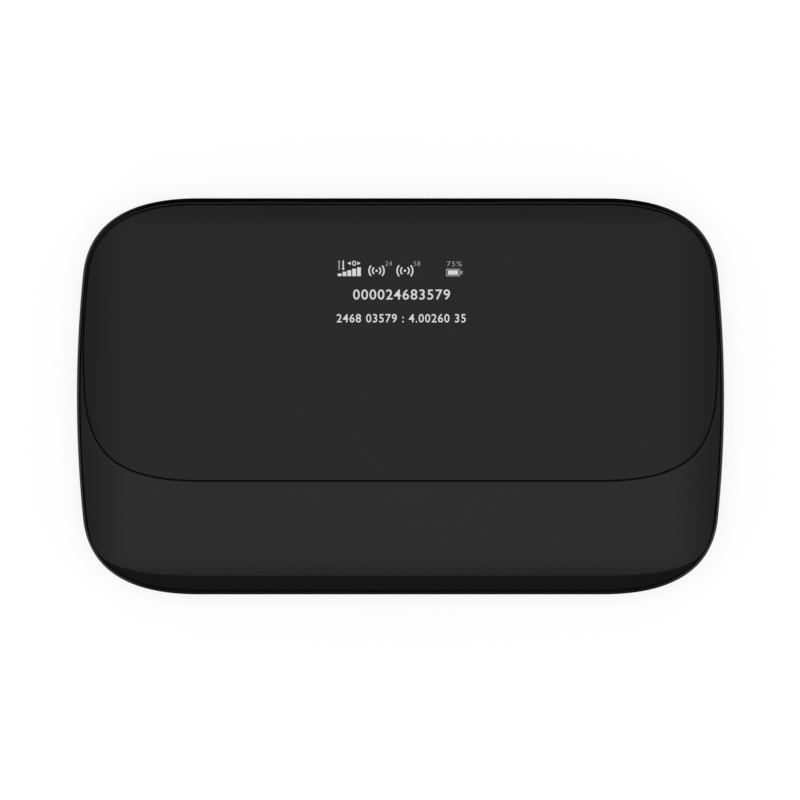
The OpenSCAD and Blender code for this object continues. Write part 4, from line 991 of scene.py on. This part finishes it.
def dress_nodes():
    """Gives every node its finish, and broken edges to those that show as they are."""
    for row in frame["record"]["subparts"]:
        node = frame["nodes"][row["node"]]
        node.data.materials.clear()
        node.data.materials.append(SLOT_FINISH[row["material_slot"]])
        if row["node"] not in REMADE:
            node.modifiers.new("joined corners", "WELD").merge_threshold = WELD_REACH * MM
            edge = node.modifiers.new("broken edges", "BEVEL")
            edge.width = EDGE_BREAK * MM
            edge.segments = 2
            edge.limit_method = "ANGLE"
            edge.angle_limit = math.radians(EDGE_ANGLE)


# Stage: camera straight above the display, soft light from all around, a pale floor

# Width of the picture at the height of the lip and the point that it centres on, in millimetres, then a lens
# so long that the sides of the body don't show
PHOTO_WIDTH = 132.25
PHOTO_PLANE_Z = 9.6
PHOTO_AIM = (-0.08, -0.61)
LENS = 800.0
SENSOR = 36.0
NEAREST, FARTHEST = 0.1, 50

# Soft boxes: name, place and size in metres, power in watts, and whether it shows in the sheen
LAMPS = (
    ("overhead", (0, 0, 1.6), (0.7, 0.8), 13.5, True),
    ("underneath", (0, 0, -1.6), (1.2, 1.2), 12, False),
    ("left_side", (-1.5, 0, 0.27), (1.2, 0.4), 5, False),
    ("lower_edge", (0, -1.5, 0.27), (1.2, 0.4), 4.5, False),
    ("right_side", (1.5, 0, 0.27), (1.2, 0.4), 5, False),
    ("upper_edge", (0, 1.5, 0.27), (1.2, 0.4), 4.5, False),
)

# Light of the surroundings, then half width, shade and own light of the floor
AMBIENT = 0.37
FLOOR_REACH = 4000
FLOOR_SHADE = "#818181"
FLOOR_GLOW = 0.8


def make_camera():
    data = bpy.data.cameras.new("camera")
    data.lens = LENS
    data.sensor_width = SENSOR
    camera = bpy.data.objects.new("camera", data)
    bpy.context.scene.collection.objects.link(camera)
    distance = PHOTO_WIDTH * LENS / SENSOR
    camera.location = (PHOTO_AIM[0] * MM, PHOTO_AIM[1] * MM, (PHOTO_PLANE_Z + distance) * MM)
    data.clip_start, data.clip_end = NEAREST, FARTHEST
    bpy.context.scene.camera = camera


def soft_box(name, place_at, size, power, mirrored):
    """Large soft light that looks at the object and stays out of the picture.

    Only a mirrored one shows in the sheen of the surfaces; the others fill in the shade.
    """
    data = bpy.data.lights.new(name, "AREA")
    data.shape = "RECTANGLE"
    data.size, data.size_y = size
    data.energy = power
    lamp = bpy.data.objects.new(name, data)
    bpy.context.scene.collection.objects.link(lamp)
    lamp.location = place_at
    lamp.rotation_mode = "QUATERNION"
    lamp.rotation_quaternion = (-lamp.location).to_track_quat("-Z", "Y")
    lamp.visible_camera = False
    lamp.visible_glossy = mirrored


def seen_directly(tree):
    """1 for camera, mirror and see-through rays, 0 for the rest."""
    path = add(tree, "ShaderNodeLightPath", {}).outputs
    both = add(tree, "ShaderNodeMath", {"operation": "MAXIMUM"},
               {0: path["Is Camera Ray"], 1: path["Is Glossy Ray"]})
    return add(tree, "ShaderNodeMath", {"operation": "MAXIMUM"},
               {0: both.outputs[0], 1: path["Is Transmission Ray"]}).outputs[0]


def floor_build(tree):
    """Pale floor: its own light keeps it white to the eye, and its grey keeps the object's shadow.

    It shows from above only, and lets the soft light from below pass to the object's underside.
    """
    glow = add(tree, "ShaderNodeEmission", {"Color": linear("#ffffff"), "Strength": FLOOR_GLOW})
    grey = add(tree, "ShaderNodeBsdfDiffuse", {"Color": linear(FLOOR_SHADE)})
    both = add(tree, "ShaderNodeAddShader", {}, {0: glow.outputs[0], 1: grey.outputs[0]})
    clear = add(tree, "ShaderNodeBsdfTransparent", {})
    above = add(tree, "ShaderNodeMath", {"operation": "SUBTRACT", 0: 1.0},
                {1: add(tree, "ShaderNodeNewGeometry", {}).outputs["Backfacing"]})
    shown = add(tree, "ShaderNodeMath", {"operation": "MULTIPLY"},
                {0: seen_directly(tree), 1: above.outputs[0]})
    return add(tree, "ShaderNodeMixShader", {},
               {0: shown.outputs[0], 1: clear.outputs[0], 2: both.outputs[0]})


def make_stage():
    far = FLOOR_REACH
    floor = new_piece("floor", block_ring(-far, -far, far, far, 0), [(0, 1, 2, 3)],
                      [finish_of("pale_floor", floor_build)])
    for lamp in LAMPS:
        soft_box(*lamp)
    world = bpy.data.worlds.new("studio")
    bpy.context.scene.world = world
    world.use_nodes = True
    tree = world.node_tree
    tree.nodes.clear()
    strength = add(tree, "ShaderNodeMapRange", {"To Min": AMBIENT, "To Max": 1.0},
                   {"Value": seen_directly(tree)})
    sky = add(tree, "ShaderNodeBackground", {"Color": linear("#ffffff")},
              {"Strength": strength.outputs[0]})
    add(tree, "ShaderNodeOutputWorld", {}, {"Surface": sky.outputs[0]})
    bpy.context.scene.view_settings.view_transform = "Standard"


make_camera()
dress_nodes()
make_front_housing()
make_front_panel()
make_back_cover()
make_button("power_button", power_sign())
make_button("menu_button", menu_sign())
make_battery()
make_readout()
make_stage()
